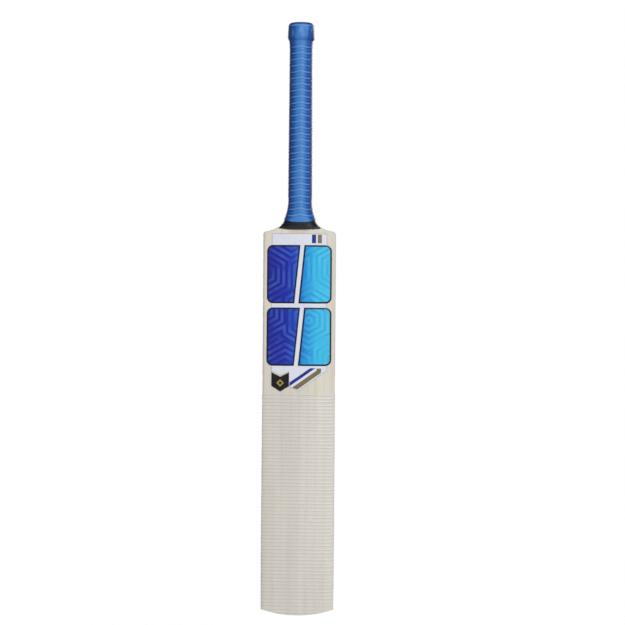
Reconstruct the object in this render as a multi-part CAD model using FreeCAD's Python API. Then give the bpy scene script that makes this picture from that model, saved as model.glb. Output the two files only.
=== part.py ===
import FreeCAD, Part
import math
import os

# Cricket bat, full size, short handle. Millimetres.
# +Z runs up the handle's axis from the toe to the top of the grip, the hitting face looks
# towards -Y, and +X is to the right of someone who looks at the face. The origin is on the
# handle's axis, level with the lowest point of the toe.

# ---- driving dimensions: blade -------------------------------------------------------
BAT_LENGTH = 860.0          # toe to the top of the grip
BLADE_LENGTH = 555.0        # toe to the shoulder corners
BLADE_WIDTH = 105.0         # across the face, above the toe
TOE_WIDTH = BLADE_WIDTH - 1.4           # across the face, at the toe
FACE_CROWN = 2.6            # how far the face bows out between its two edges
TOE_SAGITTA = 8.0           # how far the toe's curve drops below its corners
TOE_TILT = 4.0              # degrees that the toe's cut drops towards the back
TOE_CORNER = 6.0            # radius of the toe's corners, seen from the front
FRONT_EDGE_ROUND = 3.0      # rounding where the face meets each edge
BACK_EDGE_ROUND = 2.6       # rounding where the back meets each edge
SPINE_SOFTNESS = 0.08       # rounding of the spine's crest, as a share of the half width
BACK_SCOOP = 1.3            # above 1, the back is hollowed between spine and edge

# Lengthwise lines of the blade. The first number of each pair is the share of the blade's
# length above the toe, the second is in millimetres from the handle's axis.
FACE_LINE = ((-0.04, 38.4), (0.0, 37.2), (0.11, 34.2), (0.24, 29.5), (0.36, 25.7), (0.49, 22.6),
             (0.62, 19.0), (0.74, 16.0), (0.86, 14.1), (1.0, 13.9), (1.04, 13.9))
SPINE_LINE = ((-0.04, -13.5), (0.0, -10.2), (0.045, -2.6), (0.11, 5.2), (0.17, 14.6), (0.235, 25.8),
              (0.3, 32.8), (0.36, 36.0), (0.425, 36.6), (0.49, 36.2), (0.56, 34.4), (0.64, 31.0),
              (0.74, 27.0), (0.86, 22.1), (0.93, 19.0), (1.0, 17.2), (1.04, 16.9))
# Thickness of the flat edges, from the face's corner to the back's corner.
EDGE_LINE = ((-0.04, 20.0), (0.0, 24.0), (0.045, 30.5), (0.11, 35.4), (0.2, 38.6), (0.3, 40.0),
             (0.425, 40.0), (0.56, 38.2), (0.68, 32.6), (0.82, 24.0), (0.91, 19.6), (1.0, 18.6),
             (1.04, 18.6))

# ---- driving dimensions: handle ------------------------------------------------------
CANE_RADIUS = 13.4          # the turned cane handle, without its binding
CANE_RECESS = 3.0           # how far the cane ends below the grip's rim
SPRING_THICKNESS = 1.6      # each rubber strip between the cane slabs
STRIP_SPLIT = 4.6           # half width of the middle strip in each cane slab
TWINE_THICKNESS = 0.7
TWINE_TOP_MARGIN = 12.0     # bare cane above the binding
SLEEVE_CLEARANCE = 0.1      # between binding and grip
BORE_RADIUS = CANE_RADIUS + TWINE_THICKNESS + SLEEVE_CLEARANCE

# ---- driving dimensions: shoulders, neck and splice ----------------------------------
SHOULDER_RISE = 5.5         # height of the sloping shoulder above its outer corner
SHOULDER_INNER = BORE_RADIUS + 16.8     # half width where the shoulder's slope meets the neck
SHOULDER_ROUND = 4.0        # radius of the shoulders' outer corners
NECK_HEIGHT = 49.0          # how far the willow climbs the handle above the corners
SPLICE_DEPTH = 124.5        # depth of the V below the shoulder corners
SPLICE_TIP = 4.0            # width of the blunt tip of the V
GLUE_LINE = 0.1             # gap left for glue between cane, rubber and willow

# ---- driving dimensions: grip and tape -----------------------------------------------
GRIP_RADIUS_TOP = BORE_RADIUS + 2.0
GRIP_RADIUS_LOW = BORE_RADIUS + 2.9
COLLAR_RADIUS = BORE_RADIUS + 4.8
COLLAR_LENGTH = 22.0        # from the rim down to the collar's lower corner
COLLAR_STEP = 7.0           # height over which the collar runs down to the shaft
COLLAR_BEVEL = 4.0          # bevel round the rim
RIM_OPENING = CANE_RADIUS - 2.4         # radius of the hole in the rim
GRIP_SKIN = 1.7             # wall of the grip where it flares over the neck
GRIP_FOOT_MARGIN = 8.0      # the flare ends this far above the top of the willow
RIM_THICKNESS = 2.4         # depth of the lip that covers the edge of the cane
TAPE_THICKNESS = 1.3
TAPE_BASE = 4.5             # lower edge of the tape above the shoulder corners
TAPE_TOP = 17.5             # upper edge of the tape above the shoulder corners
SEAM_GAP = 0.2              # between tape and grip

# ---- driving dimensions: facing and stickers -----------------------------------------
FACING_THICKNESS = 0.4
FACING_LENGTH = 321.0       # from the toe up the face
FACING_WRAP = 9.5           # how far it comes round on to each edge
LABEL_THICKNESS = 0.25
PANEL_THICKNESS = 0.4
LABEL_TOP = BLADE_LENGTH - 3.0
FRONT_LABEL_HALF = 0.5 * BLADE_WIDTH - 12.5
BACK_LABEL_HALF = 0.5 * BLADE_WIDTH - 14.8
PANEL_HALF = 0.5 * BLADE_WIDTH - 5.5
PANEL_CORNER = 9.0
PANEL_HEIGHT = 84.0
PANEL_PITCH = 90.2          # from one panel of a pair to the next
FRONT_PANEL_DROP = 20.0     # shoulder corners down to the top of the first front panel
BACK_PANEL_DROP = 21.0
BACK_PANEL_HEIGHT = 88.2
BACK_PANEL_PITCH = 95.8

PART_FOLDER = "parts"
FAR = 90.0                  # half size of cutting blocks, beyond any surface of the bat


# ---- the blade's shape ---------------------------------------------------------------
def along(line, z):
    """Height of a lengthwise line at z: a smooth curve through its points."""
    share = z / BLADE_LENGTH
    last = len(line) - 2
    k = 0
    while k < last and share > line[k + 1][0]:
        k += 1
    a, b = line[k], line[k + 1]
    before = line[max(k - 1, 0)]
    after = line[min(k + 2, last + 1)]
    span = b[0] - a[0]
    slope_a = (b[1] - before[1]) / (b[0] - before[0])
    slope_b = (after[1] - a[1]) / (after[0] - a[0])
    t = (share - a[0]) / span
    start = (1 + 2 * t) * (1 - t) ** 2 * a[1] + t * (1 - t) ** 2 * span * slope_a
    end = t * t * (3 - 2 * t) * b[1] + t * t * (t - 1) * span * slope_b
    return start + end


def half_width(z):
    """Half the blade's width, which narrows a little over its lowest quarter."""
    share = min(max(z / (0.25 * BLADE_LENGTH), 0.0), 1.0)
    return 0.5 * (TOE_WIDTH + (BLADE_WIDTH - TOE_WIDTH) * share * (2 - share))


def face_y(x, z, grow=0.0):
    """Y of the face: a bow that falls back by FACE_CROWN at the edges."""
    return -(along(FACE_LINE, z) + grow) + FACE_CROWN * (x / half_width(z)) ** 2


def edge_front_y(z):
    return -along(FACE_LINE, z) + FACE_CROWN


def edge_back_y(z):
    return min(edge_front_y(z) + along(EDGE_LINE, z), along(SPINE_LINE, z))


def back_y(x, z, grow=0.0):
    """Y of the back: a rounded spine whose flanks are hollowed towards the edges."""
    soft = SPINE_SOFTNESS
    away = min(abs(x) / half_width(z), 1.0)
    fall = (math.hypot(away, soft) - soft) / (math.hypot(1.0, soft) - soft)
    low = edge_back_y(z)
    return low + (along(SPINE_LINE, z) - low) * (1.0 - fall) ** BACK_SCOOP + grow


def blade_section(z, grow):
    """Closed outline of the blade at height z, grown outwards by grow."""
    half = half_width(z) + grow
    a = half - FRONT_EDGE_ROUND
    b = half - BACK_EDGE_ROUND
    slope = 2 * FACE_CROWN * a / half_width(z) ** 2
    y_a = face_y(a, z, grow)
    y_corner = y_a + slope * FRONT_EDGE_ROUND
    y_low = y_corner + FRONT_EDGE_ROUND
    y_top = edge_back_y(z) + grow
    y_high = y_top - BACK_EDGE_ROUND
    count = 24
    xs = [b * math.cos(math.pi * k / count) for k in range(count + 1)]
    y_b = back_y(b, z, grow)
    back_points = [FreeCAD.Vector(x, back_y(x, z, grow), z) for x in xs]

    def point(x, y):
        return FreeCAD.Vector(x, y, z)

    def bezier(*poles):
        curve = Part.BezierCurve()
        curve.setPoles(list(poles))
        return curve.toShape()

    back = Part.BSplineCurve()
    back.interpolate(Points=back_points, Parameters=[k / count for k in range(count + 1)])
    edges = [
        bezier(point(-a, y_a), point(0, y_a - slope * a), point(a, y_a)),
        bezier(point(a, y_a), point(half, y_corner), point(half, y_low)),
        Part.LineSegment(point(half, y_low), point(half, y_high)).toShape(),
        bezier(point(half, y_high), point(half, y_top), point(b, y_b)),
        back.toShape(),
        bezier(point(-b, y_b), point(-half, y_top), point(-half, y_high)),
        Part.LineSegment(point(-half, y_high), point(-half, y_low)).toShape(),
        bezier(point(-half, y_low), point(-half, y_corner), point(-a, y_a)),
    ]
    return Part.Wire(edges)


def blade_loft(grow):
    """The blade's full body before its toe and shoulders are cut, grown by grow."""
    low = -0.035
    high = 1.035
    steps = 20
    shares = [low + (high - low) * k / steps for k in range(steps + 1)]
    wires = [blade_section(share * BLADE_LENGTH, grow) for share in shares]
    return Part.makeLoft(wires, True, False)


def block(x0, x1, y0, y1, z0, z1):
    return Part.makeBox(x1 - x0, y1 - y0, z1 - z0, FreeCAD.Vector(x0, y0, z0))


def prism_xz(edges, y0, y1):
    """A flat outline in the XZ plane, drawn at y = 0, extruded from y0 to y1."""
    face = Part.Face(Part.Wire(edges))
    face.translate(FreeCAD.Vector(0, y0, 0))
    return face.extrude(FreeCAD.Vector(0, y1 - y0, 0))


def polygon_xz(points):
    """Straight edges through (x, z) points, closed."""
    corners = [FreeCAD.Vector(x, 0, z) for x, z in points]
    pairs = zip(corners, corners[1:] + corners[:1])
    return [Part.LineSegment(start, end).toShape() for start, end in pairs]


def rounded_box_xz(half, z0, z1, radius):
    """Edges of an upright rectangle in the XZ plane with rounded corners."""
    wire = Part.Wire(polygon_xz([(-half, z0), (half, z0), (half, z1), (-half, z1)]))
    sheet = Part.Face(wire).extrude(FreeCAD.Vector(0, 1, 0))
    upright = [e for e in sheet.Edges if abs(e.tangentAt(e.FirstParameter).y) > 0.99]
    rounded = sheet.makeFillet(radius, upright)
    front = min(rounded.Faces, key=lambda f: f.CenterOfMass.y)
    return front.OuterWire.Edges


def toe_cutter():
    """What is cut away below the toe: everything under a shallow arc that drops to the back."""
    half = 0.5 * TOE_WIDTH
    side = half + 20.0
    radius = (half ** 2 + TOE_SAGITTA ** 2) / (2 * TOE_SAGITTA)
    side_z = radius - math.sqrt(radius ** 2 - side ** 2)
    left = FreeCAD.Vector(-side, 0, side_z)
    right = FreeCAD.Vector(side, 0, side_z)
    arc = Part.Arc(left, FreeCAD.Vector(0, 0, 0), right).toShape()
    low_left = FreeCAD.Vector(-side, 0, -FAR)
    low_right = FreeCAD.Vector(side, 0, -FAR)
    walls = [Part.LineSegment(right, low_right).toShape(),
             Part.LineSegment(low_right, low_left).toShape(),
             Part.LineSegment(low_left, left).toShape()]
    cutter = prism_xz([arc] + walls, -FAR, FAR)
    pivot = FreeCAD.Vector(0, along(SPINE_LINE, 0.0), 0)
    cutter.rotate(pivot, FreeCAD.Vector(1, 0, 0), -TOE_TILT)
    return cutter


def toe_corner_cutters():
    """Two pieces that round the toe's corners, seen from the front."""
    cutters = []
    reach = TOE_CORNER + 14.0
    for side in (-1, 1):
        x_edge = side * 0.5 * TOE_WIDTH
        z_centre = TOE_SAGITTA + TOE_CORNER - 1.0
        x_centre = x_edge - side * TOE_CORNER
        corner = block(min(x_centre, x_centre + side * reach), max(x_centre, x_centre + side * reach),
                       -FAR, FAR, z_centre - reach, z_centre)
        roller = Part.makeCylinder(TOE_CORNER + 0.05, 2 * FAR, FreeCAD.Vector(x_centre, -FAR, z_centre),
                                   FreeCAD.Vector(0, 1, 0))
        cutters.append(corner.cut(roller))
    return cutters


def shoulder_prism():
    """Keeps the body under the two sloping shoulders."""
    half = 0.5 * BLADE_WIDTH
    out = half + 20.0
    z_corner = BLADE_LENGTH
    z_inner = BLADE_LENGTH + SHOULDER_RISE
    slope = SHOULDER_RISE / (half - SHOULDER_INNER)
    z_out = z_corner - slope * (out - half)
    outline = polygon_xz([(-out, -FAR), (out, -FAR), (out, z_out), (SHOULDER_INNER, z_inner),
                          (-SHOULDER_INNER, z_inner), (-out, z_out)])
    prism = prism_xz(outline, -FAR, FAR)
    reach = SHOULDER_ROUND + 16.0
    for side in (-1, 1):
        x_centre = side * (half - SHOULDER_ROUND)
        z_centre = z_corner - SHOULDER_ROUND + 0.6
        corner = block(min(x_centre, x_centre + side * reach), max(x_centre, x_centre + side * reach),
                       -FAR, FAR, z_centre, z_centre + reach)
        roller = Part.makeCylinder(SHOULDER_ROUND + 0.05, 2 * FAR,
                                   FreeCAD.Vector(x_centre, -FAR, z_centre), FreeCAD.Vector(0, 1, 0))
        prism = prism.cut(corner.cut(roller))
    return prism


def oval_section(z, half_x, half_y, centre_y, power):
    """A closed oval at height z. Power 2 is an ellipse, and a higher power is boxier."""
    count = 32
    points = []
    for k in range(count):
        turn = 2 * math.pi * k / count
        across = math.copysign(abs(math.cos(turn)) ** (2 / power), math.cos(turn))
        deep = math.copysign(abs(math.sin(turn)) ** (2 / power), math.sin(turn))
        points.append(FreeCAD.Vector(half_x * across, centre_y + half_y * deep, z))
    curve = Part.BSplineCurve()
    knots = [k / count for k in range(count + 1)]
    curve.interpolate(Points=points, PeriodicFlag=True, Parameters=knots)
    return Part.Wire([curve.toShape()])


def neck_stations():
    """Height, half width, half depth, centre and boxiness of the neck, going up."""
    base = BLADE_LENGTH
    depth = 0.5 * (along(FACE_LINE, base) + along(SPINE_LINE, base))
    centre = 0.5 * (along(SPINE_LINE, base) - along(FACE_LINE, base))
    top = BORE_RADIUS
    return ((base - 2.0, top + 19.8, depth - 0.4, centre, 3.4),
            (base + 5.5, top + 16.0, depth - 0.3, centre, 3.0),
            (base + 11.5, top + 10.8, depth - 0.2, 0.8 * centre, 2.7),
            (base + TAPE_TOP, top + 7.6, depth - 0.1, 0.55 * centre, 2.45),
            (base + 29.5, top + 3.2, top + 0.8, 0.2 * centre, 2.15),
            (base + 39.5, top + 1.4, top + 0.4, 0.05 * centre, 2.0),
            (base + NECK_HEIGHT, top, top, 0.0, 2.0))


def neck(grow, low=None, high=None):
    """The willow that runs from the shoulders up round the handle, grown by grow."""
    wires = [oval_section(z, hx + grow, hy + grow, cy, power)
             for z, hx, hy, cy, power in neck_stations()]
    shape = Part.makeLoft(wires, True, False)
    if low is None:
        return shape
    return shape.common(block(-FAR, FAR, -FAR, FAR, low, high))


def splice_prism(play):
    """The V of the splice, through the whole thickness, drawn in by play on each side."""
    top = BLADE_LENGTH + NECK_HEIGHT
    tip = BLADE_LENGTH - SPLICE_DEPTH
    wide = CANE_RADIUS - play
    narrow = 0.5 * SPLICE_TIP - play
    return prism_xz(polygon_xz([(-wide, top), (wide, top), (narrow, tip + play), (-narrow, tip + play)]),
                    -FAR, FAR)


def willow_outline():
    """Blade and neck as one form, before the splice is cut into it."""
    body = blade_loft(0.0).common(shoulder_prism())
    body = body.cut(toe_cutter())
    for cutter in toe_corner_cutters():
        body = body.cut(cutter)
    return body.fuse(neck(0.0)).removeSplitter()


def make_blade(outline):
    return outline.cut(splice_prism(0.0))


# ---- the handle ----------------------------------------------------------------------
def handle_form(outline):
    """Everything that cane and rubber fill: the turned handle and the splice below it."""
    spliced = outline.common(splice_prism(GLUE_LINE))
    top = BAT_LENGTH - CANE_RECESS
    base = BLADE_LENGTH + NECK_HEIGHT
    turned = Part.makeCylinder(CANE_RADIUS - GLUE_LINE, top - base, FreeCAD.Vector(0, 0, base))
    rim = [e for e in turned.Edges if abs(e.BoundBox.ZMin - top) < 0.01 and e.BoundBox.ZLength < 0.01]
    turned = turned.makeChamfer(1.0, rim)
    return spliced.fuse(turned).removeSplitter()


def handle_layers():
    """Y limits of the four cane slabs and the three rubber strips between them."""
    slab = (2 * CANE_RADIUS - 3 * SPRING_THICKNESS) / 4
    pitch = slab + SPRING_THICKNESS
    springs = [(k * pitch - 0.5 * SPRING_THICKNESS, k * pitch + 0.5 * SPRING_THICKNESS)
               for k in (-1, 0, 1)]
    slabs = [(-FAR, springs[0][0]), (springs[0][1], springs[1][0]),
             (springs[1][1], springs[2][0]), (springs[2][1], FAR)]
    return slabs, springs


def make_handle(outline):
    """Twelve cane strips and three rubber strips, cut from one form."""
    form = handle_form(outline)
    slabs, springs = handle_layers()
    gap = 0.5 * GLUE_LINE
    columns = (("left", -FAR, -STRIP_SPLIT), ("middle", -STRIP_SPLIT, STRIP_SPLIT),
               ("right", STRIP_SPLIT, FAR))
    pieces = {}
    for layer, (y0, y1) in zip(("face", "inner_face", "inner_back", "back"), slabs):
        for column, x0, x1 in columns:
            room = block(x0 + gap, x1 - gap, y0 + gap, y1 - gap, -FAR, BAT_LENGTH + FAR)
            pieces["cane_" + layer + "_" + column] = form.common(room)
    for layer, (y0, y1) in zip(("face", "centre", "back"), springs):
        room = block(-FAR, FAR, y0 + gap, y1 - gap, -FAR, BAT_LENGTH + FAR)
        pieces["rubber_spring_" + layer] = form.common(room)
    return pieces


def make_twine():
    """The binding, as a sleeve of its outer and inner size."""
    base = BLADE_LENGTH + NECK_HEIGHT + SLEEVE_CLEARANCE
    top = BAT_LENGTH - CANE_RECESS - TWINE_TOP_MARGIN
    outer = Part.makeCylinder(CANE_RADIUS + TWINE_THICKNESS, top - base, FreeCAD.Vector(0, 0, base))
    inner = Part.makeCylinder(CANE_RADIUS, top - base, FreeCAD.Vector(0, 0, base))
    return outer.cut(inner)


# ---- the grip and the tape -----------------------------------------------------------
def grip_foot():
    """Outside of the grip's lowest part, flared over the neck."""
    join = BLADE_LENGTH + NECK_HEIGHT + GRIP_FOOT_MARGIN
    first, *rest = neck_stations()[3:-1]
    foot = (first[0] + SEAM_GAP,) + first[1:]
    wires = [oval_section(z, hx + GRIP_SKIN, hy + GRIP_SKIN, cy, power)
             for z, hx, hy, cy, power in [foot] + rest]
    tucked = GRIP_RADIUS_LOW - 0.05
    wires.append(oval_section(join, tucked, tucked, 0.0, 2.0))
    wires.append(oval_section(join + 4.0, tucked, tucked, 0.0, 2.0))
    return Part.makeLoft(wires, True, False)


def grip_shaft():
    """The grip's round shaft with the thick collar at its top."""
    rim = BAT_LENGTH
    corner = rim - COLLAR_LENGTH
    join = BLADE_LENGTH + NECK_HEIGHT + GRIP_FOOT_MARGIN
    profile = [(0.0, join), (GRIP_RADIUS_LOW, join), (GRIP_RADIUS_TOP, corner - COLLAR_STEP),
               (COLLAR_RADIUS, corner), (COLLAR_RADIUS, rim - COLLAR_BEVEL),
               (COLLAR_RADIUS - 1.2, rim - 1.2), (COLLAR_RADIUS - COLLAR_BEVEL, rim), (0.0, rim)]
    points = [FreeCAD.Vector(r, 0, z) for r, z in profile]
    face = Part.Face(Part.makePolygon(points + points[:1]))
    return face.revolve(FreeCAD.Vector(0, 0, 0), FreeCAD.Vector(0, 0, 1), 360)


def make_grip():
    """Rubber sleeve: hollow for cane and binding, with an open rim at the top."""
    solid = grip_foot().fuse(grip_shaft())
    base = BLADE_LENGTH + NECK_HEIGHT - 1.0
    lip = BAT_LENGTH - RIM_THICKNESS
    solid = solid.cut(neck(SLEEVE_CLEARANCE))
    solid = solid.cut(Part.makeCylinder(BORE_RADIUS, lip - base, FreeCAD.Vector(0, 0, base)))
    return solid.cut(Part.makeCylinder(RIM_OPENING, 2 * RIM_THICKNESS, FreeCAD.Vector(0, 0, lip - 0.5)))


def make_tape(outline):
    """Tape wound round the neck, from the shoulders up to the foot of the grip."""
    low = BLADE_LENGTH + TAPE_BASE
    high = BLADE_LENGTH + TAPE_TOP
    return neck(TAPE_THICKNESS, low, high).cut(outline)


# ---- facing and stickers -------------------------------------------------------------
def skin_form(thickness):
    """The blade grown by thickness and cut to length like the blade itself."""
    form = blade_loft(thickness).common(shoulder_prism()).cut(toe_cutter())
    for cutter in toe_corner_cutters():
        form = form.cut(cutter)
    return form


def make_facing(outline):
    """Fibre sheet over the lower face, turned round on to both edges."""
    steps = 8
    rows = [FACING_LENGTH * k / steps for k in range(-1, steps + 1)]
    line = [FreeCAD.Vector(-FAR, edge_front_y(z) + FACING_WRAP, z) for z in rows]
    curve = Part.BSplineCurve()
    curve.interpolate(line)
    low = FreeCAD.Vector(-FAR, -FAR, rows[0])
    high = FreeCAD.Vector(-FAR, -FAR, rows[-1])
    edges = [curve.toShape(), Part.LineSegment(line[-1], high).toShape(),
             Part.LineSegment(high, low).toShape(), Part.LineSegment(low, line[0]).toShape()]
    room = Part.Face(Part.Wire(edges)).extrude(FreeCAD.Vector(2 * FAR, 0, 0))
    return skin_form(FACING_THICKNESS).common(room).cut(outline)


def front_label_edges():
    """White label of the face: straight sides, a pennant point and a slanted corner."""
    half = FRONT_LABEL_HALF
    base = BLADE_LENGTH
    return polygon_xz([(-half, LABEL_TOP), (-half, base - 223.5), (-0.67 * half, base - 232.0),
                       (-0.34 * half, base - 224.0), (-0.03 * half, base - 231.0), (half, base - 201.5),
                       (half, LABEL_TOP)])


def back_label_edges():
    """White label of the back, ending in a lopsided chevron. +X is the left, seen from behind."""
    half = BACK_LABEL_HALF
    base = BLADE_LENGTH
    return polygon_xz([(-half, LABEL_TOP), (half, LABEL_TOP), (half, base - 275.0), (0.0, base - 289.5),
                       (-half, base - 250.0)])


def leg_edges(side):
    """One of the two stripes that run down the spine below the back label."""
    base = BLADE_LENGTH
    if side > 0:
        return polygon_xz([(33.0, base - 281.0), (33.0, base - 298.0), (14.5, base - 307.0),
                           (4.5, base - 424.5), (4.0, base - 293.5)])
    return polygon_xz([(-33.5, base - 265.0), (-6.0, base - 295.0), (-6.5, base - 425.5),
                       (-15.5, base - 300.5), (-33.5, base - 282.0)])


def make_front_stickers(outline):
    """Label on the face and its two raised panels."""
    label = skin_form(LABEL_THICKNESS).common(prism_xz(front_label_edges(), -FAR, 0.0)).cut(outline)
    raised = skin_form(LABEL_THICKNESS + PANEL_THICKNESS)
    pieces = {"front_label": label}
    for k, name in enumerate(("upper", "lower")):
        top = BLADE_LENGTH - FRONT_PANEL_DROP - k * PANEL_PITCH
        prism = prism_xz(rounded_box_xz(PANEL_HALF, top - PANEL_HEIGHT, top, PANEL_CORNER), -FAR, 0.0)
        pieces["front_panel_" + name] = raised.common(prism).cut(outline).cut(label)
    return pieces


def make_back_stickers(outline):
    """Label on the back, its two raised panels and the two stripes below it."""
    thin = skin_form(LABEL_THICKNESS)
    label = thin.common(prism_xz(back_label_edges(), 0.0, FAR)).cut(outline)
    raised = skin_form(LABEL_THICKNESS + PANEL_THICKNESS)
    pieces = {"back_label": label}
    for k, name in enumerate(("upper", "lower")):
        top = BLADE_LENGTH - BACK_PANEL_DROP - k * BACK_PANEL_PITCH
        prism = prism_xz(rounded_box_xz(PANEL_HALF, top - BACK_PANEL_HEIGHT, top, PANEL_CORNER), 0.0, FAR)
        pieces["back_panel_" + name] = raised.common(prism).cut(outline).cut(label)
    for name, side in (("left", -1), ("right", 1)):
        pieces["back_stripe_" + name] = thin.common(prism_xz(leg_edges(side), 0.0, FAR)).cut(outline)
    return pieces


def make_edge_sticker(outline, side):
    """Long wedge on one edge, placed by its distance behind the corner of the face."""
    base = BLADE_LENGTH
    outline_points = ((-3.0, 5.5), (-139.5, 9.5), (-208.0, 10.1), (-196.5, 24.6), (-139.5, 21.3),
                      (-134.5, 19.0), (-113.5, 15.7), (-56.5, 9.9), (-3.0, 6.7))
    corners = [FreeCAD.Vector(0, edge_front_y(base + dz) + back, base + dz) for dz, back in outline_points]
    pairs = zip(corners, corners[1:] + corners[:1])
    wire = Part.Wire([Part.LineSegment(start, end).toShape() for start, end in pairs])
    room = Part.Face(wire).extrude(FreeCAD.Vector(side * FAR, 0, 0))
    return skin_form(LABEL_THICKNESS).common(room).cut(outline)


# ---- all pieces ----------------------------------------------------------------------
def build():
    outline = willow_outline()
    pieces = {"blade": make_blade(outline)}
    pieces.update(make_handle(outline))
    pieces["twine_binding"] = make_twine()
    pieces["grip"] = make_grip()
    pieces["shoulder_tape"] = make_tape(outline)
    pieces["facing_sheet"] = make_facing(outline)
    pieces.update(make_front_stickers(outline))
    pieces.update(make_back_stickers(outline))
    for name, side in (("left", -1), ("right", 1)):
        pieces["edge_sticker_" + name] = make_edge_sticker(outline, side)
    return pieces


os.makedirs(PART_FOLDER, exist_ok=True)
for node, shape in build().items():
    solids = shape.Solids
    volume = sum(solid.Volume for solid in solids)
    print(node, "solids", len(solids), "volume", round(volume, 1), "valid", shape.isValid())
    Part.makeCompound(solids).exportStep(os.path.join(PART_FOLDER, node + ".step"))
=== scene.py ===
import math

import bmesh
import bpy
import numpy as np
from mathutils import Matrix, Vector
from mathutils.geometry import delaunay_2d_cdt


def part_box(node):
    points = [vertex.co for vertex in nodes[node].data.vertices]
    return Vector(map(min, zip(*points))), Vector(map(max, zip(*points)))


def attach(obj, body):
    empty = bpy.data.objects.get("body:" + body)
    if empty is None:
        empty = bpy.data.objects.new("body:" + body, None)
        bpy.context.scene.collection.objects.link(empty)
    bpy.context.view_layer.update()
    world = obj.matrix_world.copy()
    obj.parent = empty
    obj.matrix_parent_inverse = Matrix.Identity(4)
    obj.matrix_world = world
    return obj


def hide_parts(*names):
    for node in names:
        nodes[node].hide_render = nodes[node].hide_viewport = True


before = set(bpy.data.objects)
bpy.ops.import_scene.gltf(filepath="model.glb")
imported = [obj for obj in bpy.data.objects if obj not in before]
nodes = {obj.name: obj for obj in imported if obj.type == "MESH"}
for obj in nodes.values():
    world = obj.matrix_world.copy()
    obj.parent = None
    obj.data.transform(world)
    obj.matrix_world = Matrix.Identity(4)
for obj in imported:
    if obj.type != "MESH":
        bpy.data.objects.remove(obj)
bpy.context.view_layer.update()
MM = 0.001


# ---- blade -------------------------------------------------------------------------
# One cleft of willow: bowed face, flat edges, a back hollowed either side of the spine, a
# curved toe and sloping shoulders. It is carved, sanded and lightly oiled, and the V of the
# splice is sawn into its top. The grain runs along it, with growth lines about 12 mm apart.
blade_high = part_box("blade")[1]
NECK_HEIGHT = 49.0 * MM
NECK_TOP = blade_high.z
BLADE_LENGTH = blade_high.z - NECK_HEIGHT
BLADE_HALF = blade_high.x
TOE_HALF = BLADE_HALF - 0.7 * MM
FACE_CROWN = 2.6 * MM
TOE_SAGITTA = 8.0 * MM
TOE_SLOPE = math.tan(math.radians(4.0))
SPINE_SOFTNESS = 0.08
BACK_SCOOP = 1.3
# Across from the middle, and above the corners.
SHOULDER_LINE = ((0.0, 7.5), (31.0, 7.5), (38.0, 3.5), (52.5, 0.0))
TOE_ROUND = 5.5 * MM
SHOULDER_ROUND = 2.0 * MM
EDGE_ROUND = 1.6 * MM
FRONT_ROUND = 3.0 * MM                      # where the face turns into an edge
BACK_ROUND = 2.6 * MM
SPLICE_DEPTH = 124.5 * MM
# Share of the blade's length, and distance in millimetres.
FACE_LINE = ((-0.04, 38.4), (0.0, 37.2), (0.11, 34.2), (0.24, 29.5), (0.36, 25.7), (0.49, 22.6),
             (0.62, 19.0), (0.74, 16.0), (0.86, 14.1), (1.0, 13.9), (1.04, 13.9))
SPINE_LINE = ((-0.04, -13.5), (0.0, -10.2), (0.045, -2.6), (0.11, 5.2), (0.17, 14.6), (0.235, 25.8),
              (0.3, 32.8), (0.36, 36.0), (0.425, 36.6), (0.49, 36.2), (0.56, 34.4), (0.64, 31.0),
              (0.74, 27.0), (0.86, 22.1), (0.93, 19.0), (1.0, 17.2), (1.04, 16.9))
EDGE_LINE = ((-0.04, 20.0), (0.0, 24.0), (0.045, 30.5), (0.11, 35.4), (0.2, 38.6), (0.3, 40.0),
             (0.425, 40.0), (0.56, 38.2), (0.68, 32.6), (0.82, 24.0), (0.91, 19.6), (1.0, 18.6),
             (1.04, 18.6))


def smooth_curve(knots, values, slopes, at):
    """Values of a smooth curve through its knots. Past its ends it stays level."""
    at = np.clip(at, knots[0], knots[-1])
    k = np.clip(np.searchsorted(knots, at, side="right") - 1, 0, len(knots) - 2)
    span = knots[k + 1] - knots[k]
    t = (at - knots[k]) / span
    start = (1 + 2 * t) * (1 - t) ** 2 * values[k] + t * (1 - t) ** 2 * span * slopes[k]
    end = t * t * (3 - 2 * t) * values[k + 1] + t * t * (t - 1) * span * slopes[k + 1]
    return start + end


def along(line, z):
    """Value of a lengthwise line at each z, in metres."""
    share, value = np.array(line).T
    value = value * MM
    slope = np.empty_like(value)
    slope[1:-1] = (value[2:] - value[:-2]) / (share[2:] - share[:-2])
    slope[0] = (value[1] - value[0]) / (share[1] - share[0])
    slope[-1] = (value[-1] - value[-2]) / (share[-1] - share[-2])
    return smooth_curve(share, value, slope, np.asarray(z) / BLADE_LENGTH)


def half_width(z):
    share = np.clip(np.asarray(z) / (0.25 * BLADE_LENGTH), 0.0, 1.0)
    return TOE_HALF + (BLADE_HALF - TOE_HALF) * share * (2 - share)


def face_y(x, z):
    """Y of the bowed face."""
    return -along(FACE_LINE, z) + FACE_CROWN * (x / half_width(z)) ** 2


def edge_front_y(z):
    return -along(FACE_LINE, z) + FACE_CROWN


def edge_back_y(z):
    return np.minimum(edge_front_y(z) + along(EDGE_LINE, z), along(SPINE_LINE, z))


def back_y(x, z):
    """Y of the hollowed back with its rounded spine."""
    soft = SPINE_SOFTNESS
    away = np.clip(np.abs(x) / half_width(z), 0.0, 1.0)
    fall = (np.hypot(away, soft) - soft) / (math.hypot(1.0, soft) - soft)
    low = edge_back_y(z)
    return low + (along(SPINE_LINE, z) - low) * (1.0 - fall) ** BACK_SCOOP


def toe_z(x, y):
    """Height of the toe's curved and slightly slanted end."""
    radius = (TOE_HALF ** 2 + TOE_SAGITTA ** 2) / (2 * TOE_SAGITTA)
    return radius - np.sqrt(radius ** 2 - x ** 2) + TOE_SLOPE * (along(SPINE_LINE, 0.0) - y)


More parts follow.
